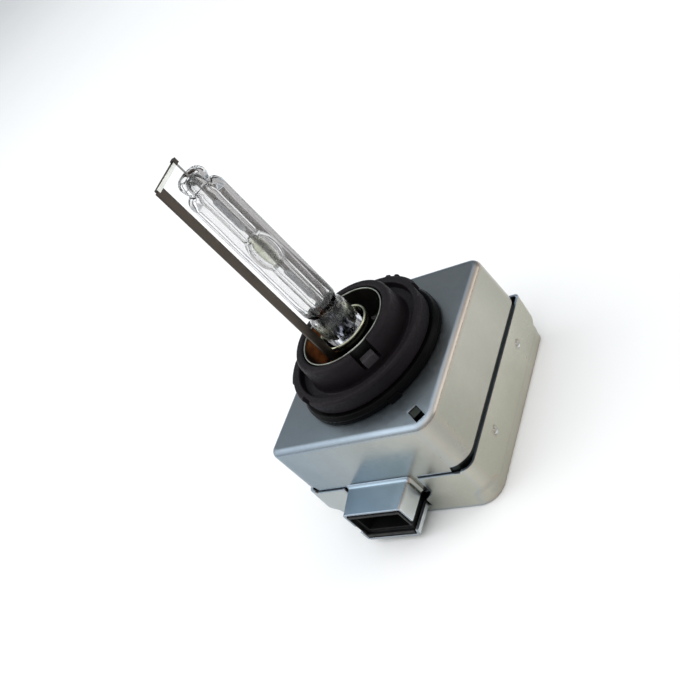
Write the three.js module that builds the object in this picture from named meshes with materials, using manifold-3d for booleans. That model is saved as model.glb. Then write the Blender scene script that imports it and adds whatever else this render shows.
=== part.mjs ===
// Xenon gas-discharge headlamp bulb with its igniter box on the back of the cap.
// Millimetres. +Z runs along the burner towards its tip, and the connector points to -Y.
// The origin is the centre of the rear cover's flat back face, on the burner's axis.

import * as THREE from 'three';
import { mergeVertices } from 'three/addons/utils/BufferGeometryUtils.js';
import Module from 'manifold-3d';

const wasm = await Module();
wasm.setup();

// ---------- driving dimensions ----------

const GAP = 0.3;                 // clearance between neighbouring pieces
const SHEET = 0.6;               // steel sheet of the igniter box
const HALF = 21;                 // half the igniter box's width and height
const FRONT_Z = 24.6;            // front face of the box
const SHELL_EDGE_Z = 12.1;       // rear edge of the front shell
const SHELL_LOW_EDGE_Z = 10.8;   // the same edge along the bottom wall, between its corners
const COVER_EDGE_Z = 11;         // front edge of the rear cover
const COVER_LOW_EDGE_Z = 10.5;
const LOW_EDGE_X = [-18.7, 16.4];
const SHELL_CORNERS = [4.2, 3, 3, 2.2]; // lower right, upper right, upper left, lower left
const SHELL_ROUND = 1.4;         // rounded edge round the front face
const SKIRT_INSET = 0.9;         // the shell's skirt slides into the rear cover
const COVER_CORNERS = [2.6, 1.2, 1.2, 1.8];
const COVER_BACK_CORNERS = [4.8, 1.2, 1.2, 4.8];
const COVER_BACK_Z = 4.2;        // the wider corners of the back part start below this
const COVER_X = 21.25;           // side walls of the rear cover
const COVER_BACK_X = 20.7;       // the same walls at the back face
const COVER_TOP = [23, 20.9, 19.6]; // upper wall at the seam, before its step and behind it
const COVER_BOTTOM = [-21.2, -21.9]; // lower wall at the seam and at the back
const COVER_STEP_Z = [3.9, 5.2];

const LIGHT_CENTRE = 27.1;       // arc centre above the cap's reference plane
const SEAT_Z = 30.7;             // reference plane: upper face of the collar's flange
const ARC_Z = SEAT_Z + LIGHT_CENTRE;
const NECK_TOP_Z = 35.1;
const FLANGE_Z = 26.8;           // lower face of the flange, on the seal ring
const FLANGE_R = 16.2;
const COLLAR_BORE_R = 10;
const COLLAR_FOOT_R = 13.9;
const SEAL_R = 16.9;

const HOOD_RIGHT = 5.9;          // steel hood round the connector, outside
const HOOD_LEFT = [-10.4, -9.2]; // at its root and at the mouth
const HOOD_Z = [6.3, 10.7];
const MOUTH_Y = -28.1;           // rim of the connector's socket
const SOCKET_X = [-7.3, 4];
const SOCKET_Z = [4.2, 8.6];
const SOCKET_FLOOR_Y = -19.5;

const TUBE_R = 3.95;             // outer quartz tube
const TUBE_WALL = 0.8;
const TUBE_Z = [41.7, 74.1];     // straight stretch of the outer tube
const GLASS_FOOT_Z = 33.4;
const KNOB_TOP_Z = 78.2;
const STEM_R = 1.85;             // arc tube's stems
const STEM_BORE_R = 1.05;
const BULB_R = 2.8;
const BULB_HALF = 4.9;
const ARC_GAP = 4.2;             // between the electrode tips

const STRIP_Y = -7.1;            // centre of the return strip
const STRIP_W = 2;
const STRIP_T = 0.5;
const TOP_Z = 81.8;              // top of the return strip
const CUP_R = 5.75;
const CUP_Z = [28.5, 34.6];
const CORE_Z = [19, 28.5];       // insulating core in the collar
const CORE_R = 9;
const BOARD_Z = [1.6, 2.6];

// ---------- shape helpers ----------

function toSolid(geometry) {
  geometry.deleteAttribute('normal');
  geometry.deleteAttribute('uv');
  const merged = mergeVertices(geometry, 1e-4);
  const index = merged.index.array;
  const kept = [];
  for (let i = 0; i < index.length; i += 3) {
    const [a, b, c] = index.subarray(i, i + 3);
    if (a !== b && b !== c && c !== a) kept.push(a, b, c);
  }
  const vertProperties = new Float32Array(merged.attributes.position.array);
  const triVerts = new Uint32Array(kept);
  return new wasm.Manifold(new wasm.Mesh({ numProp: 3, vertProperties, triVerts }));
}

function toGeometry(solid) {
  const mesh = solid.getMesh();
  const geometry = new THREE.BufferGeometry();
  geometry.setAttribute('position', new THREE.BufferAttribute(mesh.vertProperties, 3));
  geometry.setIndex(new THREE.BufferAttribute(mesh.triVerts, 1));
  geometry.computeVertexNormals();
  return geometry;
}

// A box given by its low and high limits along each axis.
function block([x0, x1], [y0, y1], [z0, z1]) {
  const geometry = new THREE.BoxGeometry(x1 - x0, y1 - y0, z1 - z0);
  geometry.translate((x0 + x1) / 2, (y0 + y1) / 2, (z0 + z1) / 2);
  return toSolid(geometry);
}

// A profile of [radius, z] points, listed counter-clockwise, turned about Z.
function turned(profile, segments = 48) {
  const points = profile.map(([r, z]) => new THREE.Vector2(r, z));
  points.push(points[0].clone());
  const geometry = new THREE.LatheGeometry(points, segments);
  geometry.rotateX(Math.PI / 2);
  return toSolid(geometry);
}

function rod(radius, [z0, z1], segments = 24) {
  const geometry = new THREE.CylinderGeometry(radius, radius, z1 - z0, segments);
  geometry.rotateX(Math.PI / 2);
  geometry.translate(0, 0, (z0 + z1) / 2);
  return toSolid(geometry);
}

// Points of an arc from one end to the other, both included.
function arc([cr, cz], [ar, az], fromDeg, toDeg, steps) {
  return Array.from({ length: steps + 1 }, (_, i) => {
    const angle = THREE.MathUtils.degToRad(fromDeg + ((toDeg - fromDeg) * i) / steps);
    return [cr + ar * Math.cos(angle), cz + az * Math.sin(angle)];
  });
}

// Rectangle with a radius for each corner: lower right, upper right, upper left, lower left.
function roundedOutline([x0, x1], [y0, y1], [r0, r1, r2, r3]) {
  const shape = new THREE.Shape();
  shape.moveTo(x0 + r3, y0);
  shape.lineTo(x1 - r0, y0);
  shape.absarc(x1 - r0, y0 + r0, r0, -Math.PI / 2, 0);
  shape.lineTo(x1, y1 - r1);
  shape.absarc(x1 - r1, y1 - r1, r1, 0, Math.PI / 2);
  shape.lineTo(x0 + r2, y1);
  shape.absarc(x0 + r2, y1 - r2, r2, Math.PI / 2, Math.PI);
  shape.lineTo(x0, y0 + r3);
  shape.absarc(x0 + r3, y0 + r3, r3, Math.PI, Math.PI * 1.5);
  return shape;
}

// A block with rounded corners, and with its edges rounded by `edge` at both ends.
function roundedBlock(xRange, yRange, [z0, z1], radii, edge = 0) {
  const geometry = new THREE.ExtrudeGeometry(roundedOutline(xRange, yRange, radii), {
    depth: z1 - z0 - 2 * edge,
    curveSegments: 5,
    bevelEnabled: edge > 0,
    bevelThickness: edge,
    bevelSize: edge,
    bevelOffset: -edge,
    bevelSegments: 2,
  });
  geometry.translate(0, 0, z0 + edge);
  return toSolid(geometry);
}

function polygonExtrusion(points, depth) {
  const shape = new THREE.Shape(points.map(([u, v]) => new THREE.Vector2(u, v)));
  return new THREE.ExtrudeGeometry(shape, { depth, bevelEnabled: false });
}

// A polygon of [y, z] points extruded along X.
function prismAlongX(points, [x0, x1]) {
  const geometry = polygonExtrusion(points, x1 - x0);
  geometry.rotateX(Math.PI / 2);
  geometry.rotateZ(Math.PI / 2);
  geometry.translate(x0, 0, 0);
  return toSolid(geometry);
}

// A polygon of [x, z] points extruded along Y.
function prismAlongY(points, [y0, y1]) {
  const geometry = polygonExtrusion(points, y1 - y0);
  geometry.rotateX(Math.PI / 2);
  geometry.translate(0, y1, 0);
  return toSolid(geometry);
}

// A polygon of [x, y] points extruded along Z.
function prismAlongZ(points, [z0, z1]) {
  const geometry = polygonExtrusion(points, z1 - z0);
  geometry.translate(0, 0, z0);
  return toSolid(geometry);
}

function sameCorners(radius) {
  return [radius, radius, radius, radius];
}

// A piece of a ring between two radii and two angles in degrees.
function ringSector([r0, r1], [fromDeg, toDeg], [z0, z1]) {
  const a0 = THREE.MathUtils.degToRad(fromDeg);
  const a1 = THREE.MathUtils.degToRad(toDeg);
  const shape = new THREE.Shape();
  shape.absarc(0, 0, r1, a0, a1, false);
  shape.absarc(0, 0, r0, a1, a0, true);
  const geometry = new THREE.ExtrudeGeometry(shape, {
    depth: z1 - z0,
    curveSegments: 8,
    bevelEnabled: false,
  });
  geometry.translate(0, 0, z0);
  return toSolid(geometry);
}

// Turns a solid by an angle about Z and moves it.
function placed(solid, angleDeg, offset = [0, 0, 0]) {
  return solid.rotate([0, 0, angleDeg]).translate(offset);
}

function joined(solids) {
  return solids.reduce((sum, piece) => sum.add(piece));
}

function cutFrom(body, tools) {
  return tools.reduce((rest, tool) => rest.subtract(tool), body);
}

// ---------- finishes ----------

const FINISH = {
  frontSteel: { color: 0x8c979f, roughness: 0.38, metalness: 0.85 },
  rearSteel: { color: 0xb0b0a4, roughness: 0.42, metalness: 0.8 },
  stripSteel: { color: 0x50483f, roughness: 0.35, metalness: 0.85 },
  brightSteel: { color: 0xb9bcb4, roughness: 0.25, metalness: 0.95 },
  blackPlastic: { color: 0x1d1a1d, roughness: 0.5, metalness: 0 },
  rubber: { color: 0x0b0c0d, roughness: 0.75, metalness: 0 },
  amberPlastic: { color: 0x9a4a18, roughness: 0.4, metalness: 0 },
  greyPlastic: { color: 0x8b8a8c, roughness: 0.5, metalness: 0 },
  quartz: { color: 0xe8eef0, roughness: 0.05, metalness: 0 },
  tungsten: { color: 0x6a6a68, roughness: 0.35, metalness: 0.9 },
  foil: { color: 0x55565a, roughness: 0.3, metalness: 0.9 },
  ferrite: { color: 0x2e2d2c, roughness: 0.6, metalness: 0.1 },
  copper: { color: 0xb4663a, roughness: 0.35, metalness: 0.8 },
  board: { color: 0x2f5a34, roughness: 0.6, metalness: 0 },
  ceramic: { color: 0xd8d4c8, roughness: 0.5, metalness: 0 },
  blueFilm: { color: 0x2c4a7c, roughness: 0.45, metalness: 0 },
};

const group = new THREE.Group();

function addPart(name, solid, finish) {
  const mesh = new THREE.Mesh(toGeometry(solid), new THREE.MeshStandardMaterial(FINISH[finish]));
  mesh.name = name;
  group.add(mesh);
}

// ---------- igniter box ----------

const BEYOND = 6;                // how far a cutting tool runs past what it cuts
const FLOOR_Y = [-HALF, -HALF + SHEET];
const TAB_X = [HOOD_LEFT[0] - 0.6, HOOD_RIGHT + 2]; // floor left standing beside the hood
const NOTCH_X = [TAB_X[0] - GAP, TAB_X[1] + GAP];

// The square outline of the box, moved inwards by `inset`.
function shellBlock(inset, zRange, edge = 0) {
  const range = [-HALF + inset, HALF - inset];
  return roundedBlock(range, range, zRange, SHELL_CORNERS.map((r) => r - inset), edge);
}

// Skirt that the rear cover slides over, joined to the shell by a narrow ledge.
function skirt() {
  const outer = SKIRT_INSET;
  const inner = SKIRT_INSET + SHEET;
  const ledgeZ = [SHELL_EDGE_Z + 0.3, SHELL_EDGE_Z + 0.9];
  const wallZ = [6.1, ledgeZ[1]];
  const wall = shellBlock(outer, wallZ).add(shellBlock(SHEET / 2, ledgeZ));
  return cutFrom(wall, [
    shellBlock(inner, [wallZ[0] - 1, wallZ[1] + 1]),
    block([NOTCH_X[0], NOTCH_X[1] + 0.5], [-HALF, -HALF + inner + 0.2], [wallZ[0] - 1, SHELL_EDGE_Z]),
  ]);
}

function hood() {
  const [rootLeft, mouthLeft] = HOOD_LEFT;
  const mouthY = MOUTH_Y + 0.2;
  const rootY = FLOOR_Y[1];
  const plate = [[rootLeft, rootY], [HOOD_RIGHT, rootY], [HOOD_RIGHT, mouthY], [mouthLeft, mouthY]];
  const leftWing = [
    [rootLeft, rootY],
    [rootLeft + SHEET, rootY],
    [mouthLeft + SHEET, mouthY],
    [mouthLeft, mouthY],
  ];
  const tabZ = [HOOD_Z[0] - 0.6, SHELL_EDGE_Z];
  return joined([
    prismAlongZ(plate, [HOOD_Z[1] - SHEET, HOOD_Z[1]]),
    prismAlongZ(leftWing, HOOD_Z),
    block([HOOD_RIGHT - SHEET, HOOD_RIGHT], [mouthY, rootY], HOOD_Z),
    block([rootLeft, HOOD_RIGHT], FLOOR_Y, [HOOD_Z[1] - SHEET, SHELL_EDGE_Z]),
    block([TAB_X[0], rootLeft + SHEET], FLOOR_Y, tabZ),
    block([HOOD_RIGHT - SHEET, TAB_X[1]], FLOOR_Y, tabZ),
  ]);
}

const KEY_SLOT = { width: 4, height: 2.1, angle: -42, at: [17.1, -17.4] };

function keySlotTool() {
  const { width, height, angle, at } = KEY_SLOT;
  const tool = block([-width / 2, width / 2], [-height / 2, height / 2], [-1, 1]);
  return placed(tool, angle, [at[0], at[1], FRONT_Z - SHEET / 2]);
}

function frontShell() {
  const tail = SHELL_LOW_EDGE_Z - BEYOND;
  const wide = [-HALF - 1, HALF + 1];
  const body = cutFrom(shellBlock(0, [tail, FRONT_Z], SHELL_ROUND), [
    shellBlock(SHEET, [tail - BEYOND, FRONT_Z - SHEET], SHELL_ROUND - SHEET / 2),
    block(wide, wide, [tail - 1, SHELL_LOW_EDGE_Z]),
    block(wide, [-HALF + SHEET, HALF + 1], [tail - 1, SHELL_EDGE_Z]),
    block([-HALF - 1, LOW_EDGE_X[0]], wide, [tail - 1, SHELL_EDGE_Z]),
    block([LOW_EDGE_X[1], HALF + 1], wide, [tail - 1, SHELL_EDGE_Z]),
    rod(COLLAR_FOOT_R + GAP, [FRONT_Z - BEYOND, FRONT_Z + 1], 48),
    keySlotTool(),
  ]);
  return joined([body, skirt(), hood()]);
}

// Solid shape of the rear cover, moved inwards by `inset`: side, plan and rear outlines together.
function coverBlock(inset) {
  const front = COVER_EDGE_Z + BEYOND;
  const [top0, top1, top2] = COVER_TOP;
  const [bottom0, bottom1] = COVER_BOTTOM;
  const [stepLow, stepHigh] = COVER_STEP_Z;
  const side = prismAlongX([
    [bottom0 + inset, front],
    [bottom1 + inset, inset + 0.4],
    [bottom1 + inset + 0.4, inset],
    [top2 - inset - 0.4, inset],
    [top2 - inset, inset + 0.4],
    [top2 - inset, stepLow + inset],
    [top1 - inset, stepHigh + inset],
    [top0 - inset, front],
  ], [-COVER_X, COVER_X]);
  const x = COVER_X - inset;
  const backX = COVER_BACK_X - inset;
  const rear = prismAlongY([
    [-x, front],
    [-x, 2.6],
    [-backX, inset + 0.3],
    [-backX + 0.3, inset],
    [backX - 0.3, inset],
    [backX, inset + 0.3],
    [x, 2.6],
    [x, front],
  ], [bottom1 - 1, top0 + 1]);
  const planOf = (corners, zRange) => {
    const radii = corners.map((r) => r - inset / 2);
    return roundedBlock([-x, x], [bottom1 + inset, top0 - inset], zRange, radii);
  };
  const plan = planOf(COVER_CORNERS, [COVER_BACK_Z + inset, front])
    .add(planOf(COVER_BACK_CORNERS, [0, COVER_BACK_Z + inset + 1]));
  return side.intersect(rear).intersect(plan);
}

// Tongue behind the connector, with a wing at each side.
function rearTongue() {
  const left = HOOD_LEFT[1] - 0.1;
  const y = [MOUTH_Y, COVER_BOTTOM[1] + 0.3];
  const profile = [
    [left, 1.6],
    [4.1, 1.6],
    [4.6, 1.9],
    [5.1, 3.5],
    [4.6, 3.7],
    [4.05, 2.2],
    [left + SHEET, 2.2],
    [left + SHEET, 4.4],
    [left, 4.4],
  ];
  return prismAlongY(profile, y);
}

const CLINCH_Y = [-10.2, 11];    // clinch marks along each side wall
const CLINCH_Z = 7.6;

function clinchMarks() {
  return CLINCH_Y.flatMap((y) => [-1, 1].map((sign) => {
    const mark = rod(0.7, [-0.2, 0.2], 12).rotate([0, 90, 0]);
    return mark.translate([sign * COVER_X, y, CLINCH_Z]);
  }));
}

function rearCover() {
  const wide = [-HALF - 2, HALF + 2];
  const lowWall = [-HALF - 2, -HALF + 1];
  const shell = cutFrom(coverBlock(0), [
    coverBlock(SHEET),
    block(wide, wide, [COVER_EDGE_Z, COVER_EDGE_Z + 2 * BEYOND]),
    block(LOW_EDGE_X, lowWall, [COVER_LOW_EDGE_Z, COVER_EDGE_Z + 1]),
    block([NOTCH_X[0], 5.6], lowWall, [2.2, COVER_EDGE_Z + 1]),
    block([5.5, NOTCH_X[1]], lowWall, [4.4, COVER_EDGE_Z + 1]),
  ]);
  return cutFrom(shell.add(rearTongue()), clinchMarks());
}

addPart('front_shell', frontShell(), 'frontSteel');
addPart('rear_cover', rearCover(), 'rearSteel');

// ---------- inner plastic housing ----------

const HOUSING_X = 19;
const HOUSING_Y = [-17.4, 18.3];
const HOUSING_Z = [3, 23.4];
const HOUSING_WALL = 1.2;

function innerHousing() {
  const [y0, y1] = HOUSING_Y;
  const outer = roundedBlock([-HOUSING_X, HOUSING_X], HOUSING_Y, HOUSING_Z, sameCorners(4));
  const inside = [-HOUSING_X + HOUSING_WALL, HOUSING_X - HOUSING_WALL];
  const cavityY = [y0 + HOUSING_WALL, y1 - HOUSING_WALL];
  const cavityZ = [HOUSING_Z[0] - 1, HOUSING_Z[1] - HOUSING_WALL];
  const cavity = roundedBlock(inside, cavityY, cavityZ, sameCorners(3));
  const pinGate = block([-6.4, 2.4], [y0 - 1, y0 + 2], [HOUSING_Z[0] - 1, 8]);
  return cutFrom(outer, [cavity, rod(CORE_R + GAP, [20, 25], 32), pinGate]);
}

// ---------- collar, seal and burner holder ----------

const WINDOW_DEG = -45;

function collarBody() {
  return turned([
    [COLLAR_BORE_R, 23.5],
    [COLLAR_FOOT_R, 23.5],
    [COLLAR_FOOT_R, FLANGE_Z],
    [15.4, FLANGE_Z],
    [15.6, FLANGE_Z + 0.2],
    [FLANGE_R, SEAT_Z - 0.5],
    [15.9, SEAT_Z],
    [14.4, SEAT_Z],
    [14.1, SEAT_Z - 1.6],
    [12.4, SEAT_Z - 1.6],
    [12.15, SEAT_Z - 1],
    [11.75, NECK_TOP_Z - 0.4],
    [11.35, NECK_TOP_Z],
    [10.3, NECK_TOP_Z],
    [COLLAR_BORE_R, NECK_TOP_Z - 0.3],
  ], 48);
}

// Lobes on the flange's rim that index the cap in its holder; two of them are narrow teeth.
function indexLugs() {
  const rimZ = [SEAT_Z - 2.6, SEAT_Z - 0.3];
  return joined([
    ringSector([14.6, 16.3], [48, 86], rimZ),
    ringSector([14.6, 16.75], [70, 74], rimZ),
    ringSector([14.6, 16.75], [79, 83], rimZ),
    ringSector([14.6, 16.45], [186, 210], rimZ),
  ]);
}

function collarCuts() {
  const flangeZ = [FLANGE_Z + 0.6, SEAT_Z + 2];
  const window = block([COLLAR_BORE_R - 1, COLLAR_FOOT_R], [-2.15, 2.15], [SEAT_Z, NECK_TOP_Z + 1]);
  return [
    ringSector([15.6, 18], [26, 46], flangeZ),
    ringSector([15.3, 18], [-124, -113], flangeZ),
    placed(window, WINDOW_DEG),
  ];
}

function baseCollar() {
  return cutFrom(collarBody().add(indexLugs()), collarCuts());
}

function sealRing() {
  const ring = turned([
    [COLLAR_FOOT_R + GAP, FRONT_Z],
    [16.5, FRONT_Z],
    [SEAL_R, FRONT_Z + 0.4],
    [SEAL_R, FLANGE_Z - 0.9],
    [16.3, FLANGE_Z - 0.1],
    [15.2, FLANGE_Z],
    [COLLAR_FOOT_R + GAP, FLANGE_Z],
  ], 48);
  const tab = block([16, 17.4], [-1.4, 1.4], [FRONT_Z, FRONT_Z + 1.3]);
  return ring.add(placed(tab, -50));
}

function holderSleeve() {
  return turned([
    [9.45, 23.8],
    [9.7, 23.8],
    [9.7, NECK_TOP_Z - 0.25],
    [9.45, NECK_TOP_Z - 0.25],
  ], 48);
}

function insulatorCore() {
  const body = turned([
    [1.4, CORE_Z[0]],
    [8.6, CORE_Z[0]],
    [CORE_R, CORE_Z[0] + 0.4],
    [CORE_R, CORE_Z[1] - 1],
    [8.4, CORE_Z[1] - 0.5],
    [6.4, CORE_Z[1] - 0.5],
    [6.2, CORE_Z[1]],
    [1.4, CORE_Z[1]],
  ], 32);
  const half = STRIP_W / 2 + GAP;
  const slot = block([-0.6, 0.6], [STRIP_Y - half, STRIP_Y + half], [CORE_Z[0] - 1, CORE_Z[1] + 1]);
  return body.subtract(slot);
}

function burnerCup() {
  return turned([
    [2.3, CUP_Z[0]],
    [4.6, CUP_Z[0]],
    [5.1, CUP_Z[0] + 0.5],
    [5.4, CUP_Z[1] - 1.4],
    [CUP_R, CUP_Z[1] - 0.5],
    [CUP_R - 0.15, CUP_Z[1]],
    [CUP_R - 0.5, CUP_Z[1]],
    [5, CUP_Z[1] - 1.4],
    [4.7, CUP_Z[0] + 0.9],
    [4.3, CUP_Z[0] + 0.5],
    [2.3, CUP_Z[0] + 0.5],
  ], 32);
}

function windowTab() {
  return placed(block([10.25, 12.2], [-1.5, 1.5], [SEAT_Z + 0.1, SEAT_Z + 2]), WINDOW_DEG);
}

addPart('inner_housing', innerHousing(), 'blackPlastic');
addPart('base_collar', baseCollar(), 'blackPlastic');
addPart('seal_ring', sealRing(), 'rubber');
addPart('holder_sleeve', holderSleeve(), 'brightSteel');
addPart('insulator_core', insulatorCore(), 'amberPlastic');
addPart('burner_cup', burnerCup(), 'brightSteel');
addPart('window_tab', windowTab(), 'greyPlastic');

// ---------- burner ----------

function outerTube() {
  const [low, high] = TUBE_Z;
  const inner = TUBE_R - TUBE_WALL;
  const stemFit = STEM_R + GAP;
  return turned([
    [stemFit, GLASS_FOOT_Z],
    [4.05, GLASS_FOOT_Z],
    [4.15, GLASS_FOOT_Z + 0.8],
    [4.2, GLASS_FOOT_Z + 4.5],
    [4.1, low - 2],
    [3.4, low - 0.9],
    [3.7, low - 0.3],
    [TUBE_R, low + 0.4],
    [TUBE_R, high - 0.9],
    ...arc([TUBE_R - 1.4, high - 0.9], [1.4, 1.6], 20, 75, 3),
    [2.55, high + 1],
    ...arc([2.1, KNOB_TOP_Z - 1.5], [0.9, 1.5], -50, 80, 5),
    [1.9, KNOB_TOP_Z - 0.1],
    [1.9, high + 0.2],
    [inner - 0.5, high - 0.7],
    [inner, high - 1.6],
    [inner, low + 1],
    [stemFit, low - 0.8],
  ], 32);
}

// The arc tube: two stems joined by the bulb, on one bore that widens into the arc chamber.
function arcTube() {
  const neckAngle = 40;
  const bulb = arc([0, ARC_Z], [BULB_R, BULB_HALF], -90 + neckAngle, 90 - neckAngle, 10);
  const chamber = arc([0, ARC_Z], [1.45, 3.8], 90 - 46, -90 + 46, 6);
  return turned([
    [STEM_BORE_R, 31],
    [STEM_R, 31],
    [STEM_R, bulb[0][1]],
    ...bulb.filter(([r]) => r > STEM_R),
    [STEM_R, bulb.at(-1)[1]],
    [STEM_R, 73.6],
    [1.6, 74.2],
    [1.6, 77.4],
    [STEM_BORE_R, 77.4],
    ...chamber,
  ], 20);
}

const ELECTRODE_R = 0.18;
const LEAD_R = 0.2;
const FOIL = { width: 1.7, thickness: 0.12, length: 8.5, from: 5.6 };
const WELD_GAP = 0.05;

// Electrode, foil and lead on one side of the arc; side is 1 above it and -1 below it.
function addSealParts(prefix, side, leadEnd) {
  const at = (distance) => ARC_Z + side * distance;
  const span = (a, b) => [Math.min(at(a), at(b)), Math.max(at(a), at(b))];
  const foilEnd = FOIL.from + FOIL.length;
  const lead = Math.abs(leadEnd - ARC_Z);
  const foilX = [-FOIL.width / 2, FOIL.width / 2];
  const foilY = [-FOIL.thickness / 2, FOIL.thickness / 2];
  addPart(`${prefix}_electrode`, rod(ELECTRODE_R, span(ARC_GAP / 2, FOIL.from - WELD_GAP), 10), 'tungsten');
  addPart(`${prefix}_foil`, block(foilX, foilY, span(FOIL.from, foilEnd)), 'foil');
  addPart(`${prefix}_lead`, rod(LEAD_R, span(foilEnd + WELD_GAP, lead), 10), 'tungsten');
}

// Flat strip beside the tube, with a leg across the top that carries a narrow ledge.
function returnStrip() {
  const y0 = STRIP_Y - STRIP_W / 2;
  const y1 = STRIP_Y + STRIP_W / 2;
  const x = [-STRIP_T / 2, STRIP_T / 2];
  return joined([
    block(x, [y0, y1], [26.2, TOP_Z - 0.6]),
    block(x, [y0 + 0.5, -0.55], [TOP_Z - 0.9, TOP_Z]),
    block(x, [y0, y1], [TOP_Z - 2, TOP_Z - 0.45]),
    block([-STRIP_T / 2, 1.1], [y0 + 0.6, -0.55], [TOP_Z - 0.9, TOP_Z - 0.55]),
  ]);
}

function weldLug() {
  const lug = roundedBlock([-0.5, 0.5], [-0.5, 0.5], [TOP_Z - 0.9, TOP_Z + 0.15], sameCorners(0.2));
  return lug.subtract(rod(LEAD_R + 0.1, [TOP_Z - 2, TOP_Z + 1], 10));
}

addPart('outer_tube', outerTube(), 'quartz');
addPart('arc_tube', arcTube(), 'quartz');
addSealParts('upper', 1, TOP_Z + 0.1);
addSealParts('lower', -1, 27);
addPart('return_strip', returnStrip(), 'stripSteel');
addPart('weld_lug', weldLug(), 'stripSteel');

// ---------- connector ----------

const BODY_X = [HOOD_LEFT[1] + SHEET + 0.1, HOOD_RIGHT - SHEET - 0.1];
const BODY_Z = [2.5, HOOD_Z[1] - SHEET - 0.1];
const SOCKET_MID_X = (SOCKET_X[0] + SOCKET_X[1]) / 2;
const PIN_X = { supply_pin: SOCKET_MID_X - 2.4, return_pin: SOCKET_MID_X + 2.4 };
const PIN_Z = (SOCKET_Z[0] + SOCKET_Z[1]) / 2;
const PIN_HALF = [1, 0.35];      // half the blade's width and half its thickness
const PIN_TIP_Y = -22.9;
const PIN_BEND_Y = -14;

function connectorBody() {
  const [x0, x1] = BODY_X;
  const [z0, z1] = BODY_Z;
  const section = [[x0, z0], [3.7, z0], [4.8, 5.1], [x1, 5.6], [x1, z1], [x0, z1]];
  const rim = [SOCKET_X[0] - 0.8, SOCKET_X[1] + 0.6];
  const body = joined([
    prismAlongY(section, [MOUTH_Y, -18]),
    block([x0 - 0.5, x1 + 2.2], [-19.6, -18], [z0 + 0.4, z1 + 0.6]),
  ]);
  const pinHoles = Object.values(PIN_X).map((x) => {
    const holeX = [x - PIN_HALF[0] - 0.1, x + PIN_HALF[0] + 0.1];
    const holeZ = [PIN_Z - PIN_HALF[1] - 0.1, PIN_Z + PIN_HALF[1] + 0.1];
    return block(holeX, [SOCKET_FLOOR_Y - 1, -17], holeZ);
  });
  return cutFrom(body, [
    block(SOCKET_X, [MOUTH_Y - 1, SOCKET_FLOOR_Y], SOCKET_Z),
    block(rim, [MOUTH_Y - 1, MOUTH_Y + 0.7], [SOCKET_Z[0] - 0.8, SOCKET_Z[1] + 0.7]),
    ...pinHoles,
  ]);
}

// A blade from the socket to the board, bent down behind the connector.
function contactPin(x) {
  const [halfX, halfZ] = PIN_HALF;
  const span = [x - halfX, x + halfX];
  return joined([
    block(span, [PIN_TIP_Y, PIN_BEND_Y], [PIN_Z - halfZ, PIN_Z + halfZ]),
    block(span, [PIN_BEND_Y - 0.7, PIN_BEND_Y], [BOARD_Z[1], PIN_Z + halfZ]),
  ]);
}

addPart('connector_body', connectorBody(), 'blackPlastic');
for (const [name, x] of Object.entries(PIN_X)) addPart(name, contactPin(x), 'brightSteel');

// ---------- igniter parts inside the box ----------

const COIL = { y: 4, z: 11, length: 27, flangeR: 7.4, hubR: 3.9, boreR: 3.3 };
const SECTIONS = 5;

function alongX(solid, y, z) {
  return solid.rotate([0, 90, 0]).translate([0, y, z]);
}

// Bobbin with flanges that divide the secondary winding into sections.
function bobbin() {
  const half = COIL.length / 2;
  const flange = 1;
  const pitch = (COIL.length - flange) / SECTIONS;
  const profile = [[COIL.boreR, -half]];
  for (let i = 0; i <= SECTIONS; i += 1) {
    const z = -half + i * pitch;
    if (i > 0) profile.push([COIL.hubR, z]);
    profile.push([COIL.flangeR, z], [COIL.flangeR, z + flange]);
    if (i < SECTIONS) profile.push([COIL.hubR, z + flange]);
  }
  profile.push([COIL.boreR, half]);
  return alongX(turned(profile, 20), COIL.y, COIL.z);
}

// One section of the secondary winding, between two flanges of the bobbin.
function windingSection(index) {
  const flange = 1;
  const pitch = (COIL.length - flange) / SECTIONS;
  const low = -COIL.length / 2 + index * pitch + flange + 0.1;
  const high = low + pitch - flange - 0.2;
  const inner = COIL.hubR + 0.15;
  return alongX(turned([[inner, low], [6.6, low], [6.6, high], [inner, high]], 24), COIL.y, COIL.z);
}

// Spark gap: a ceramic barrel between two metal caps.
function sparkGap() {
  const barrel = turned([
    [0.4, -5],
    [2.6, -5],
    [3, -4.4],
    [3, -2.6],
    [3.7, -2.4],
    [3.7, 2.4],
    [3, 2.6],
    [3, 4.4],
    [2.6, 5],
    [0.4, 5],
  ], 24);
  return alongX(barrel, 0, 0).translate([11, -11, 6.9]);
}

function axialPart(radius, length, segments = 20) {
  const half = length / 2;
  const cap = radius + 0.25;
  const capLength = length * 0.18;
  return alongX(turned([
    [0, -half],
    [cap, -half],
    [cap, -half + capLength],
    [radius, -half + capLength + 0.2],
    [radius, half - capLength - 0.2],
    [cap, half - capLength],
    [cap, half],
    [0, half],
  ], segments), 0, 0);
}

function highVoltageContact() {
  return turned([
    [0, COIL.z + COIL.flangeR + 0.3],
    [1.1, COIL.z + COIL.flangeR + 0.3],
    [1.1, 27.6],
    [0.45, 27.6],
    [0.45, 26.7],
    [0, 26.7],
  ], 16);
}

function returnTerminal() {
  const y = [STRIP_Y - STRIP_W / 2, STRIP_Y + STRIP_W / 2];
  return block([-STRIP_T / 2, STRIP_T / 2], y, [BOARD_Z[1], 26.1]);
}

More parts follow.
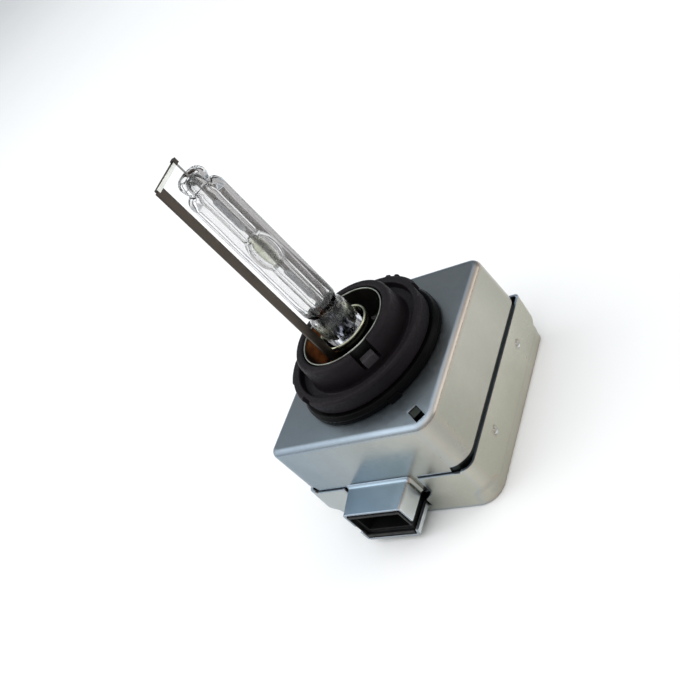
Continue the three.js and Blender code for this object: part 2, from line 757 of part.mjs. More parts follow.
addPart('circuit_board', roundedBlock([-17.2, 17.2], [-15.8, 16.6], BOARD_Z, sameCorners(2)), 'board');
addPart('transformer_core', alongX(rod(3, [-15, 15], 24), COIL.y, COIL.z), 'ferrite');
addPart('transformer_bobbin', bobbin(), 'greyPlastic');
for (let i = 0; i < SECTIONS; i += 1) addPart(`winding_${i + 1}`, windingSection(i), 'copper');
addPart('pulse_capacitor', roundedBlock([-16.5, -7], [-15, -6], [BOARD_Z[1], 12], sameCorners(1), 0.5), 'blueFilm');
addPart('spark_gap', sparkGap(), 'ceramic');
addPart('bleed_resistor', axialPart(1.1, 7).translate([-8, 14.6, 4.1]), 'ceramic');
addPart('suppressor_choke', axialPart(2, 12).translate([7, 14.4, 5]), 'ferrite');
addPart('hv_contact', highVoltageContact(), 'brightSteel');
addPart('return_terminal', returnTerminal(), 'brightSteel');

export default group;
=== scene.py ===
import math

import bmesh
import bpy
from mathutils import Matrix, Vector


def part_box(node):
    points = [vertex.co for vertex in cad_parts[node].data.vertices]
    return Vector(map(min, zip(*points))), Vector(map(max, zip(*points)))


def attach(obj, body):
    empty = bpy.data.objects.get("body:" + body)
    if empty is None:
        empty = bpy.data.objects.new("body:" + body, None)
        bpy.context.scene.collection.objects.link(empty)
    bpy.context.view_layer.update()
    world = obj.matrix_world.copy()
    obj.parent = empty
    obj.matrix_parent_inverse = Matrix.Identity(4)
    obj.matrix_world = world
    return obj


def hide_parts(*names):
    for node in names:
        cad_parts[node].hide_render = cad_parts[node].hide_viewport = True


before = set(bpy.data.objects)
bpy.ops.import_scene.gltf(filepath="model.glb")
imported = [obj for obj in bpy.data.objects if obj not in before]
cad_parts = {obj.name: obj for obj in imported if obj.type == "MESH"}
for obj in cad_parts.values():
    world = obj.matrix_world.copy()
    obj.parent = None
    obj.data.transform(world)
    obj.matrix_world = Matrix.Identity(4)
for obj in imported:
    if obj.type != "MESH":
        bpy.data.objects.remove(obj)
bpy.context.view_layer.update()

MM = 0.001


# ---------- measures, in millimetres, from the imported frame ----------

def box_mm(node):
    low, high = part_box(node)
    return [c / MM for c in low], [c / MM for c in high]


SHELL_HIGH = box_mm("front_shell")[1]
COVER_HIGH = box_mm("rear_cover")[1]
NECK_TOP = box_mm("base_collar")[1][2]
MOUTH_Y = box_mm("connector_body")[0][1]
SEAL_LOW, SEAL_HIGH = box_mm("seal_ring")
SLEEVE_LOW, SLEEVE_HIGH = box_mm("holder_sleeve")
CORE_LOW, CORE_HIGH = box_mm("insulator_core")
CUP_LOW, CUP_HIGH = box_mm("burner_cup")
TUBE_LOW, TUBE_HIGH = box_mm("outer_tube")
ARC_LOW, ARC_HIGH = box_mm("arc_tube")
STRIP_LOW, STRIP_HIGH = box_mm("return_strip")

HALF = SHELL_HIGH[0]
FRONT_Z = SHELL_HIGH[2]
SHEET = 0.6
STRIP_Y0, STRIP_Y1 = -8.1, -6.1
SEAT_Z = NECK_TOP - 4.4
FLANGE_Z = SEAT_Z - 3.9
ARC_Z = (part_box("upper_electrode")[0].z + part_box("lower_electrode")[1].z) / 2 / MM


# ---------- mesh helpers ----------

def smoothstep(low, high, value):
    t = min(1.0, max(0.0, (value - low) / (high - low)))
    return t * t * (3 - 2 * t)


def finish_mesh(obj, angle=32.0, weld=2e-6):
    """Merged doubles, outward normals, sharp edges by angle, and a value on convex edges that drives their
    wear and, on the plated steel, a painted highlight.
    """
    bm = bmesh.new()
    bm.from_mesh(obj.data)
    if weld:
        bmesh.ops.remove_doubles(bm, verts=bm.verts, dist=weld)
    loose = [v for v in bm.verts if not v.link_faces]
    bmesh.ops.delete(bm, geom=loose, context="VERTS")
    bmesh.ops.recalc_face_normals(bm, faces=bm.faces)
    limit = math.radians(angle)
    for face in bm.faces:
        face.smooth = True
    for edge in bm.edges:
        if len(edge.link_faces) == 2:
            edge.smooth = edge.calc_face_angle(0.0) < limit
    edge_wear_and_sheen = []
    for vert in bm.verts:
        bends = [e.calc_face_angle_signed(0.0) for e in vert.link_edges if len(e.link_faces) == 2]
        most = max(bends, default=0.0)
        edge_wear_and_sheen.append(smoothstep(math.radians(4), math.radians(14), most))
    bm.to_mesh(obj.data)
    bm.free()
    layer = obj.data.attributes.get("edge_wear_and_sheen") or obj.data.attributes.new("edge_wear_and_sheen", "FLOAT", "POINT")
    layer.data.foreach_set("value", edge_wear_and_sheen)
    return obj


def mesh_object(name, verts, faces):
    mesh = bpy.data.meshes.new(name)
    mesh.from_pydata([[c * MM for c in v] for v in verts], [], faces)
    mesh.validate()
    obj = bpy.data.objects.new(name, mesh)
    bpy.context.scene.collection.objects.link(obj)
    return obj


def formed(name, part):
    """A finished mesh from a (verts, faces) pair."""
    return finish_mesh(mesh_object(name, *part))


def loft(rings, close_rings=True, join_ends=False, cap_start=False, cap_end=False):
    """Vertices and faces over rings of points that all have the same count."""
    count = len(rings[0])
    verts = [p for ring in rings for p in ring]
    faces = []
    spans = count if close_rings else count - 1
    steps = len(rings) if join_ends else len(rings) - 1
    for k in range(steps):
        a, b = k * count, ((k + 1) % len(rings)) * count
        for i in range(spans):
            j = (i + 1) % count
            faces.append((a + i, a + j, b + j, b + i))
    if cap_start:
        faces.append(tuple(reversed(range(count))))
    if cap_end:
        faces.append(tuple(range(len(verts) - count, len(verts))))
    return verts, faces


def merged(*parts):
    """Several (verts, faces) pairs as one."""
    verts, faces = [], []
    for more_verts, more_faces in parts:
        start = len(verts)
        verts += more_verts
        faces += [tuple(i + start for i in f) for f in more_faces]
    return verts, faces


def filleted(points, radius, steps=3, support=0.0):
    """A closed polygon with its corners rounded, and a point kept close to each round."""
    rounded = []
    count = len(points)
    for i, p in enumerate(points):
        before, after = Vector(points[i - 1]), Vector(points[(i + 1) % count])
        corner = Vector(p)
        to_before, to_after = before - corner, after - corner
        d = min(radius, 0.42 * to_before.length, 0.42 * to_after.length)
        start = corner + to_before.normalized() * d
        end = corner + to_after.normalized() * d
        if support and 0.45 * to_before.length > d + support:
            rounded.append(tuple(start + to_before.normalized() * support))
        for k in range(steps + 1):
            t = k / steps
            q = start * (1 - t) ** 2 + corner * 2 * t * (1 - t) + end * t * t
            rounded.append(tuple(q))
        if support and 0.45 * to_after.length > d + support:
            rounded.append(tuple(end + to_after.normalized() * support))
    return rounded


def arc(cx, cy, rx, ry, degrees):
    """Points of an ellipse at the angles given."""
    return [(cx + rx * math.cos(math.radians(a)), cy + ry * math.sin(math.radians(a))) for a in degrees]


def lathe(profile, segments=160, radius_at=None):
    """A closed profile of (radius, z) points turned about Z. radius_at may vary the radius with the angle."""
    rings = []
    for k in range(segments):
        angle = 2 * math.pi * k / segments
        ring = []
        for r, z in profile:
            rr = radius_at(r, z, angle) if radius_at else r
            ring.append((rr * math.cos(angle), rr * math.sin(angle), z))
        rings.append(ring)
    return loft(rings, join_ends=True)


def extruded(section, axis, start, end, edge=0.0):
    """A closed 2D section carried along an axis, with its end edges rounded by `edge`."""
    centre = Vector((sum(p[0] for p in section), sum(p[1] for p in section))) / len(section)
    stops = [(start, edge), (start + edge * 0.3, edge * 0.3), (start + edge, 0.0)]
    stops += [(end - edge, 0.0), (end - edge * 0.3, edge * 0.3), (end, edge)]
    if edge == 0:
        stops = [(start, 0.0), (end, 0.0)]
    rings = []
    for along, inset in stops:
        ring = []
        for p in section:
            out = Vector(p) - centre
            q = Vector(p) - out.normalized() * inset
            if axis == "x":
                ring.append((along, q.x, q.y))
            elif axis == "y":
                ring.append((q.x, along, q.y))
            else:
                ring.append((q.x, q.y, along))
        rings.append(ring)
    return loft(rings, cap_start=True, cap_end=True)


def sector(r0, r1, a0, a1, z0, z1, round_by=0.18):
    """A block bent round Z between two radii and two angles in degrees, with soft edges."""
    section = filleted([(r0, z0), (r1, z0), (r1, z1), (r0, z1)], round_by)
    steps = max(4, int((a1 - a0) / 1.5))
    mean = (r0 + r1) / 2
    turn = math.degrees(round_by / r1)
    stops = [(a0, round_by), (a0 + turn * 0.3, round_by * 0.3), (a0 + turn, 0.0)]
    stops += [(a0 + turn + (a1 - a0 - 2 * turn) * k / steps, 0.0) for k in range(1, steps)]
    stops += [(a1 - turn, 0.0), (a1 - turn * 0.3, round_by * 0.3), (a1, round_by)]
    mid_z = (z0 + z1) / 2
    rings = []
    for angle, inset in stops:
        a = math.radians(angle)
        ring = []
        for r, z in section:
            rr = r - inset * (1 if r > mean else -1)
            zz = z - inset * (1 if z > mid_z else -1)
            ring.append((rr * math.cos(a), rr * math.sin(a), zz))
        rings.append(ring)
    return loft(rings, cap_start=True, cap_end=True)


def bent_sheet(path, thickness, bend=0.5, steps=4):
    """The closed outline of a folded sheet: an open 2D path, filleted at its bends and thickened."""
    line = [Vector(path[0])]
    for i in range(1, len(path) - 1):
        corner = Vector(path[i])
        to_before, to_after = Vector(path[i - 1]) - corner, Vector(path[i + 1]) - corner
        d = min(bend, 0.45 * to_before.length, 0.45 * to_after.length)
        start, end = corner + to_before.normalized() * d, corner + to_after.normalized() * d
        for k in range(steps + 1):
            t = k / steps
            line.append(start * (1 - t) ** 2 + corner * 2 * t * (1 - t) + end * t * t)
    line.append(Vector(path[-1]))
    left, right = [], []
    for i, p in enumerate(line):
        a, b = line[max(0, i - 1)], line[min(len(line) - 1, i + 1)]
        tangent = (b - a).normalized()
        normal = Vector((-tangent.y, tangent.x)) * (thickness / 2)
        left.append(tuple(p + normal))
        right.append(tuple(p - normal))
    return left + right[::-1]


def solid_block(x, y, z):
    verts = [(a, b, c) for c in z for b in y for a in x]
    faces = [(0, 2, 3, 1), (4, 5, 7, 6), (0, 1, 5, 4), (2, 6, 7, 3), (0, 4, 6, 2), (1, 3, 7, 5)]
    return verts, faces


def turned_about_z(part, degrees, offset=(0, 0, 0)):
    verts, faces = part
    c, s = math.cos(math.radians(degrees)), math.sin(math.radians(degrees))
    moved = [(x * c - y * s + offset[0], x * s + y * c + offset[1], z + offset[2]) for x, y, z in verts]
    return moved, faces


def apply_modifiers(obj):
    graph = bpy.context.evaluated_depsgraph_get()
    mesh = bpy.data.meshes.new_from_object(obj.evaluated_get(graph))
    old = obj.data
    obj.modifiers.clear()
    obj.data = mesh
    bpy.data.meshes.remove(old)
    mesh.name = obj.name


def solidify(obj, thickness=SHEET):
    modifier = obj.modifiers.new("thickness", "SOLIDIFY")
    modifier.thickness = thickness * MM
    modifier.offset = -1
    modifier.use_even_offset = True
    apply_modifiers(obj)


def discard(obj):
    mesh = obj.data
    bpy.data.objects.remove(obj)
    bpy.data.meshes.remove(mesh)


def join_meshes(target, *others):
    bm = bmesh.new()
    for obj in (target, *others):
        bm.from_mesh(obj.data)
    bm.to_mesh(target.data)
    bm.free()
    for other in others:
        discard(other)


def cut(obj, *tools):
    """Cuts closed shapes out of obj."""
    for k, part in enumerate(tools):
        tool = formed(f"tool_{obj.name}_{k}", part)
        modifier = obj.modifiers.new("cut", "BOOLEAN")
        modifier.operation = "DIFFERENCE"
        modifier.solver = "EXACT"
        modifier.object = tool
        apply_modifiers(obj)
        discard(tool)


def soften(obj, width):
    modifier = obj.modifiers.new("soft_edges", "BEVEL")
    modifier.width = width * MM
    modifier.segments = 2
    modifier.limit_method = "ANGLE"
    modifier.angle_limit = math.radians(38)
    modifier.use_clamp_overlap = True
    apply_modifiers(obj)


# Shares of a side. The pairs of close stops are where the shell's lower edge steps round the hood.
TAB_STOPS = [0.216, 0.219, 0.2505, 0.2535, 0.6755, 0.6785, 0.75, 0.753]
SIDE_STOPS = sorted([0.0, 0.012, 0.03, 0.97, 0.988] + [0.05 + 0.9 * k / 32 for k in range(33)] + TAB_STOPS)
CORNER_STEPS = 12
LOW_SIDE = range(1, len(SIDE_STOPS))


def outline(x0, x1, y0, y1, radii, inset=0.0):
    """Rounded rectangle: radii for the lower right, upper right, upper left and lower left corners."""
    x0, x1, y0, y1 = x0 + inset, x1 - inset, y0 + inset, y1 - inset
    r = [max(0.08, radius - inset) for radius in radii]
    centres = [(x1 - r[0], y0 + r[0]), (x1 - r[1], y1 - r[1]), (x0 + r[2], y1 - r[2]), (x0 + r[3], y0 + r[3])]
    starts = [(x0 + r[3], y0), (x1, y0 + r[0]), (x1 - r[1], y1), (x0, y1 - r[2])]
    ends = [(x1 - r[0], y0), (x1, y1 - r[1]), (x0 + r[2], y1), (x0, y0 + r[3])]
    points = []
    for k in range(4):
        (ax, ay), (bx, by) = starts[k], ends[k]
        points += [(ax + (bx - ax) * t, ay + (by - ay) * t) for t in SIDE_STOPS]
        for i in range(CORNER_STEPS):
            angle = math.radians(-90 + 90 * k + 90 * i / CORNER_STEPS)
            cx, cy = centres[k]
            points.append((cx + r[k] * math.cos(angle), cy + r[k] * math.sin(angle)))
    return points


# ---------- node materials ----------

class Shader:
    """A Principled material and short calls for the nodes that vary it."""

    def __init__(self, name, color, roughness, **sockets):
        self.material = bpy.data.materials.new(name)
        self.material.use_nodes = True
        self.tree = self.material.node_tree
        self.bsdf = self.tree.nodes["Principled BSDF"]
        self.bsdf.inputs["Base Color"].default_value = (*color, 1)
        self.bsdf.inputs["Roughness"].default_value = roughness
        for key, value in sockets.items():
            socket = self.bsdf.inputs[key.replace("_", " ")]
            socket.default_value = (*value, 1) if isinstance(value, tuple) else value
        self.coords = self.node("ShaderNodeTexCoord")

    def node(self, kind, **settings):
        made = self.tree.nodes.new(kind)
        for key, value in settings.items():
            setattr(made, key, value)
        return made

    def feed(self, socket, value):
        if isinstance(value, bpy.types.NodeSocket):
            self.tree.links.new(value, socket)
        elif isinstance(value, tuple) and len(value) == 3 and socket.type == "RGBA":
            socket.default_value = (*value, 1)
        else:
            socket.default_value = value

    def place(self, scale=(1, 1, 1), turn=(0, 0, 0)):
        mapping = self.node("ShaderNodeMapping")
        self.feed(mapping.inputs["Vector"], self.coords.outputs["Object"])
        mapping.inputs["Scale"].default_value = scale
        mapping.inputs["Rotation"].default_value = turn
        return mapping.outputs[0]

    def noise(self, scale, detail=3.0, roughness=0.55, where=None, distortion=0.0):
        noise = self.node("ShaderNodeTexNoise")
        self.feed(noise.inputs["Vector"], where or self.coords.outputs["Object"])
        noise.inputs["Scale"].default_value = scale
        noise.inputs["Detail"].default_value = detail
        noise.inputs["Roughness"].default_value = roughness
        noise.inputs["Distortion"].default_value = distortion
        return noise.outputs["Fac"]

    def cells(self, scale):
        cells = self.node("ShaderNodeTexVoronoi", feature="F1")
        self.feed(cells.inputs["Vector"], self.coords.outputs["Object"])
        cells.inputs["Scale"].default_value = scale
        return cells.outputs["Distance"]

    def math(self, operation, a, b=0.0):
        made = self.node("ShaderNodeMath", operation=operation)
        self.feed(made.inputs[0], a)
        self.feed(made.inputs[1], b)
        return made.outputs[0]

    def times(self, a, b):
        return self.math("MULTIPLY", a, b)

    def plus(self, a, b):
        return self.math("ADD", a, b)

    def span(self, value, low, high, to_low=0.0, to_high=1.0):
        """A smooth step from to_low, where value is low, to to_high, where it is high."""
        made = self.node("ShaderNodeMapRange", interpolation_type="SMOOTHSTEP")
        self.feed(made.inputs["Value"], value)
        for key, number in zip(("From Min", "From Max", "To Min", "To Max"), (low, high, to_low, to_high)):
            made.inputs[key].default_value = number
        return made.outputs[0]

    def mix(self, factor, a, b, blend="MIX"):
        made = self.node("ShaderNodeMix", data_type="RGBA", blend_type=blend)
        self.feed(made.inputs[0], factor)
        self.feed(made.inputs[6], a)
        self.feed(made.inputs[7], b)
        return made.outputs[2]

    def axes(self, output):
        split = self.node("ShaderNodeSeparateXYZ")
        self.feed(split.inputs[0], self.coords.outputs[output])
        return split.outputs

    def edge_wear_and_sheen(self):
        return self.node("ShaderNodeAttribute", attribute_name="edge_wear_and_sheen").outputs["Fac"]

    def bump(self, height, distance, strength=1.0, onto=None):
        made = self.node("ShaderNodeBump")
        self.feed(made.inputs["Height"], height)
        made.inputs["Distance"].default_value = distance
        made.inputs["Strength"].default_value = strength
        if onto is not None:
            self.feed(made.inputs["Normal"], onto)
        return made.outputs[0]

    def surface(self, color, roughness, normal):
        return self.set(Base_Color=color, Roughness=roughness, Normal=normal)

    def set(self, **sockets):
        for key, value in sockets.items():
            self.feed(self.bsdf.inputs[key.replace("_", " ")], value)
        return self.material


def scaled(color, by):
    return tuple(min(1.0, c * by) for c in color)


WING_PAINTED_LIGHT = (0.78, 0.81, 0.82)
HOOD_TOP_BAND = (0.0125, 0.0115)


def plated_steel(name, front, low, side, roughness):
    """Zinc-plated sheet with painted reflections and highlights: a tint that goes from blue to straw round
    the box with the way each face looks.

    Front, low and side are the tints of faces towards +Z, towards -Y and of all others. Places are
    in metres in the piece's own frame.
    """
    s = Shader(name, side, roughness, Metallic=1.0)
    normal = s.axes("Normal")
    place = s.axes("Object")
    clouds = s.noise(70, 4, 0.6)
    fine = s.noise(900, 5, 0.6)
    low_down = s.span(place[2], *HOOD_TOP_BAND)
    towards_low = s.span(normal[1], -0.15, -0.85)
    towards_front = s.span(normal[2], 0.2, 0.9)
    # Painted reflections: the base colour follows which way a face looks, the low tint towards -Y and the
    # front tint towards +Z.
    tint = s.mix(towards_low, side, low)
    # Painted reflection: on the low wall, a grade towards the side tint along +X.
    painted_low_gradient = s.span(s.plus(place[0], s.times(place[1], -0.35)), -0.022, 0.036)
    tint = s.mix(s.times(towards_low, painted_low_gradient), tint, side)
    # Painted reflection: the front face darker towards -X and +Y, and bluer towards -Y.
    painted_front_gradient = s.span(s.math("SUBTRACT", place[0], place[1]), 0.004, 0.038)
    face = s.mix(painted_front_gradient, scaled(front, 0.56), front)
    bluer = s.mix(1.0, face, (0.96, 1.06, 1.14), "MULTIPLY")
    face = s.mix(s.span(place[1], -0.002, -0.018), face, bluer)
    tint = s.mix(towards_front, tint, face)
    # Painted reflection: the hood's top takes a paler copy of the low tint.
    hood = s.times(low_down, towards_front)
    tint = s.mix(hood, tint, scaled(low, 1.18))
    blotches = s.noise(26, 3, 0.5, distortion=0.6)
    dimmed = s.mix(1.0, tint, (0.80, 0.81, 0.79), "MULTIPLY")
    tint = s.mix(s.span(clouds, 0.35, 0.7, 0.0, 0.55), tint, dimmed)
    tint = s.mix(s.span(blotches, 0.45, 0.62, 0.0, 0.45), tint, dimmed)
    # Painted shade: duller towards both ends of the +X wall.
    towards_x = s.span(normal[0], 0.5, 0.9)
    low_end, high_end = s.span(place[1], -0.004, -0.020), s.span(place[1], 0.008, 0.019, 0.0, 0.8)
    painted_end_shade = s.times(towards_x, s.math("MAXIMUM", low_end, high_end))
    tint = s.mix(painted_end_shade, tint, dimmed)
    speck = s.span(s.noise(2600, 2, 0.5), 0.3, 0.75, 0.95, 1.0)
    tint = s.mix(1.0, tint, s.mix(speck, (0.0, 0.0, 0.0), (1.0, 1.0, 1.0)), "MULTIPLY")
    rubs = s.noise(1.0, 4, 0.65, s.place((1500, 1500, 60), (0.2, 0.1, 0.9)))
    rub_mask = s.span(rubs, 0.62, 0.78)
    wear_and_sheen = s.edge_wear_and_sheen()
    tint = s.mix(s.times(rub_mask, 0.10), tint, (0.70, 0.69, 0.66))
    # Painted highlight: convex edges tinted blue, and pink where they face +X.
    painted_edge_highlight = s.mix(s.span(normal[0], 0.15, 0.6), (0.30, 0.36, 0.44), (0.42, 0.33, 0.275))
    tint = s.mix(s.times(wear_and_sheen, 0.65), tint, painted_edge_highlight)
    rough = s.span(fine, 0.3, 0.7, roughness - 0.025, roughness + 0.03)
    rough = s.plus(rough, s.times(wear_and_sheen, 0.05))
    rough = s.plus(rough, s.span(clouds, 0.3, 0.7, -0.02, 0.04))
    # Painted light: the hood's flank towards +X made pale.
    wing = s.times(low_down, towards_x)
    wing = s.times(wing, s.span(place[1], -0.0218, -0.0224))
    tint = s.mix(wing, tint, WING_PAINTED_LIGHT)
    satin = s.plus(s.math("SUBTRACT", towards_front, hood), wing)
    rough = s.plus(rough, s.times(satin, 0.15))
    grain = s.bump(s.noise(5200, 3, 0.6), 0.000004, 0.5)
    waves = s.bump(s.noise(55, 1, 0.4), 0.0006, 0.12, grain)
    return s.surface(tint, rough, waves)


def moulded_plastic(name, dark, light, roughness, grain=0.00003):
    """Glass-filled black plastic with an eroded grain and paler, polished edges."""
    s = Shader(name, dark, roughness, Metallic=0.0, Specular_IOR_Level=0.17)
    mottle = s.noise(160, 4, 0.6)
    fibres = s.noise(1.0, 3, 0.6, s.place((900, 2600, 1800), (0.5, 0.3, 0.2)))
    tint = s.mix(s.span(mottle, 0.35, 0.7), dark, light)
    tint = s.mix(s.span(fibres, 0.58, 0.74, 0.0, 0.3), tint, scaled(light, 1.8))
    wear_and_sheen = s.edge_wear_and_sheen()
    tint = s.mix(s.times(wear_and_sheen, 0.3), tint, scaled(light, 1.8))
    rough = s.span(s.noise(1400, 3), 0.3, 0.7, roughness - 0.08, roughness + 0.1)
    rough = s.plus(rough, s.times(wear_and_sheen, 0.05))
    height = s.bump(s.noise(3200, 3, 0.6), grain, 0.5)
    height = s.bump(s.noise(120, 2, 0.5), 0.0004, 0.10, height)
    return s.surface(tint, rough, height)


def bare_metal(name, color, dark, roughness, stretch=(900, 900, 6000), bump=0.00001):
    """Drawn or rolled metal with fine lines, stains and brighter edges."""
    s = Shader(name, color, roughness, Metallic=1.0)
    lines = s.noise(1.0, 4, 0.6, s.place(stretch))
    stain = s.noise(220, 4, 0.65)
    tint = s.mix(s.span(stain, 0.4, 0.75, 0.0, 0.8), color, dark)
    tint = s.mix(s.span(lines, 0.45, 0.7, 0.0, 0.3), tint, scaled(color, 1.35))
    tint = s.mix(s.times(s.edge_wear_and_sheen(), 0.4), tint, scaled(color, 1.6))
    rough = s.span(lines, 0.3, 0.7, roughness - 0.06, roughness + 0.08)
    normal = s.bump(lines, bump, 0.5)
    normal = s.bump(s.noise(260, 2), 0.0002, 0.12, normal)
    return s.surface(tint, rough, normal)


def quartz(name, tint, waves, salts=False):
    """Clear quartz, greyer at its edges and frosted at its foot, with a film of metal salts by the arc."""
    s = Shader(name, tint, 0.02, IOR=1.458, Transmission_Weight=1.0)
    place = s.axes("Object")
    foot = s.span(place[2], 0.0402, 0.0385)
    smear = s.noise(1.0, 3, 0.6, s.place((500, 500, 90)))
    rough = s.span(smear, 0.6, 0.85, 0.0, 0.05)
    rough = s.plus(rough, s.times(foot, 0.11))
    color = s.mix(s.span(smear, 0.4, 0.8, 0.0, 0.25), tint, scaled(tint, 0.93))
    facing = s.node("ShaderNodeLayerWeight")
    facing.inputs["Blend"].default_value = 0.5
    color = s.mix(s.span(facing.outputs["Facing"], 0.55, 0.95, 0.0, 0.8), color, (0.50, 0.50, 0.52))
    color = s.mix(foot, color, (0.74, 0.75, 0.79))
    if salts:
        height = s.math("ABSOLUTE", s.math("SUBTRACT", place[2], ARC_Z * MM))
        around = s.node("ShaderNodeCombineXYZ")
        s.feed(around.inputs[0], place[0])
        s.feed(around.inputs[1], place[1])
        length = s.node("ShaderNodeVectorMath", operation="LENGTH")
        s.feed(length.inputs[0], around.outputs[0])
        inside = s.span(length.outputs["Value"], 0.0019, 0.0016)
        film = s.times(inside, s.span(height, 0.0042, 0.0026))
        film = s.times(film, s.span(s.noise(600, 3), 0.25, 0.6, 0.55, 1.0))
        color = s.mix(film, color, (0.56, 0.58, 0.44))
        rough = s.plus(rough, s.times(film, 0.28))
    normal = s.bump(s.noise(1.0, 2, 0.5, s.place((420, 420, 110))), waves, 0.5)
    return s.surface(color, rough, normal)


FRONT_STEEL = plated_steel("front_plate", (0.40, 0.425, 0.44), (0.25, 0.315, 0.375), (0.46, 0.45, 0.39), 0.21)
REAR_STEEL = plated_steel("rear_plate", (0.43, 0.45, 0.44), (0.47, 0.51, 0.53), (0.54, 0.53, 0.45), 0.30)
# Near-black steel, a painted shade, for the skirt in the seam gap and the flap behind the key slot.
SHADE_STEEL = bare_metal("painted_shade_steel", (0.030, 0.035, 0.031), (0.022, 0.020, 0.018), 0.42,
                         (800, 800, 3000))
COLLAR_PLASTIC = moulded_plastic("collar_plastic", (0.0052, 0.0033, 0.0048), (0.0086, 0.0055, 0.0078), 0.55)
DARK_PLASTIC = moulded_plastic("dark_plastic", (0.0045, 0.0045, 0.005), (0.008, 0.008, 0.0085), 0.42)
GREY_PLASTIC = moulded_plastic("grey_plastic", (0.03, 0.027, 0.03), (0.05, 0.045, 0.048), 0.40)
BOBBIN_PLASTIC = moulded_plastic("bobbin_plastic", (0.24, 0.23, 0.23), (0.32, 0.31, 0.30), 0.5)
STRIP_STEEL = bare_metal("strip_steel", (0.068, 0.057, 0.048), (0.044, 0.037, 0.031), 0.36)
# Pale steel for the strip's ledge: a painted reflection on the ribbon's top face.
PAINTED_HIGHLIGHT_STEEL = bare_metal("bright_steel", (0.66, 0.67, 0.62), (0.40, 0.42, 0.36), 0.22, (1500, 1500, 700))
CONTACT_METAL = bare_metal("contact_metal", (0.70, 0.69, 0.64), (0.50, 0.48, 0.42), 0.28, (2600, 500, 2600))
TUNGSTEN = bare_metal("tungsten", (0.30, 0.29, 0.28), (0.16, 0.155, 0.15), 0.38, (5000, 5000, 900))
FOIL_METAL = bare_metal("foil_metal", (0.22, 0.22, 0.23), (0.10, 0.10, 0.11), 0.30, (2200, 2200, 500))
COPPER = bare_metal("copper_wire", (0.62, 0.26, 0.12), (0.30, 0.12, 0.06), 0.34, (9000, 500, 500), 0.00006)
OUTER_QUARTZ = quartz("outer_quartz", (0.925, 0.92, 0.92), 0.00006)
ARC_QUARTZ = quartz("arc_quartz", (0.98, 0.985, 0.98), 0.0001, salts=True)


def rubber():
    s = Shader("seal_rubber", (0.003, 0.003, 0.0035), 0.3, Metallic=0.0, Specular_IOR_Level=0.04)
    dust = s.noise(420, 4, 0.65)
    tint = s.mix(s.span(dust, 0.5, 0.8, 0.0, 0.5), (0.002, 0.002, 0.0022), (0.005, 0.0045, 0.005))
    rough = s.span(dust, 0.35, 0.75, 0.24, 0.42)
    return s.surface(tint, rough, s.bump(s.noise(1700, 3), 0.00003, 0.4))


def amber():
    s = Shader("amber_plastic", (0.36, 0.115, 0.03), 0.34, Metallic=0.0, Subsurface_Weight=0.25)
    s.bsdf.inputs["Subsurface Radius"].default_value = (0.0012, 0.0005, 0.0002)
    flow = s.noise(1.0, 4, 0.6, s.place((260, 420, 160), (0.3, 0.2, 0.4)))
    tint = s.mix(s.span(flow, 0.32, 0.72), (0.40, 0.135, 0.035), (0.20, 0.055, 0.014))
    tint = s.mix(s.times(s.edge_wear_and_sheen(), 0.4), tint, (0.62, 0.30, 0.11))
    # Painted shade of the deep bore: nearly black, except on the -X side.
    painted_bore_shade = s.span(s.axes("Object")[0], -0.0062, -0.0048)
    tint = s.mix(painted_bore_shade, tint, (0.010, 0.0085, 0.008))
    rough = s.span(s.noise(1500, 3), 0.3, 0.7, 0.26, 0.44)
    return s.surface(tint, rough, s.bump(s.noise(900, 3), 0.00004, 0.4))


def board():
    s = Shader("board_laminate", (0.03, 0.10, 0.04), 0.5, Metallic=0.0)
    weave = s.cells(900)
    tint = s.mix(s.span(weave, 0.2, 0.7), (0.022, 0.085, 0.032), (0.045, 0.14, 0.055))
    rough = s.span(s.noise(700, 3), 0.3, 0.7, 0.38, 0.6)
    return s.surface(tint, rough, s.bump(weave, 0.00003, 0.4))


def mineral(name, light, dark, roughness, scale):
    s = Shader(name, light, roughness, Metallic=0.0)
    grains = s.noise(scale, 5, 0.7)
    tint = s.mix(s.span(grains, 0.35, 0.7), light, dark)
    rough = s.span(grains, 0.3, 0.7, roughness - 0.08, roughness + 0.12)
    return s.surface(tint, rough, s.bump(grains, 0.00005, 0.5))


def cup_steel():
    """Painted shade on the body inside and out, and a painted highlight on the rim."""
    s = Shader("cup_steel", (0.05, 0.05, 0.045), 0.3, Metallic=1.0)
    stain = s.noise(500, 4, 0.6)
    rim = s.span(s.axes("Object")[2], (CUP_HIGH[2] - 1.9) * MM, (CUP_HIGH[2] - 1.5) * MM)
    dark = s.mix(s.span(stain, 0.35, 0.7), (0.040, 0.042, 0.045), (0.016, 0.017, 0.016))
    bright = s.mix(s.span(stain, 0.35, 0.7), (0.56, 0.55, 0.41), (0.26, 0.28, 0.19))
    rough = s.span(stain, 0.3, 0.7, 0.18, 0.32)
    return s.surface(s.mix(rim, dark, bright), rough, s.bump(stain, 0.00004, 0.3))


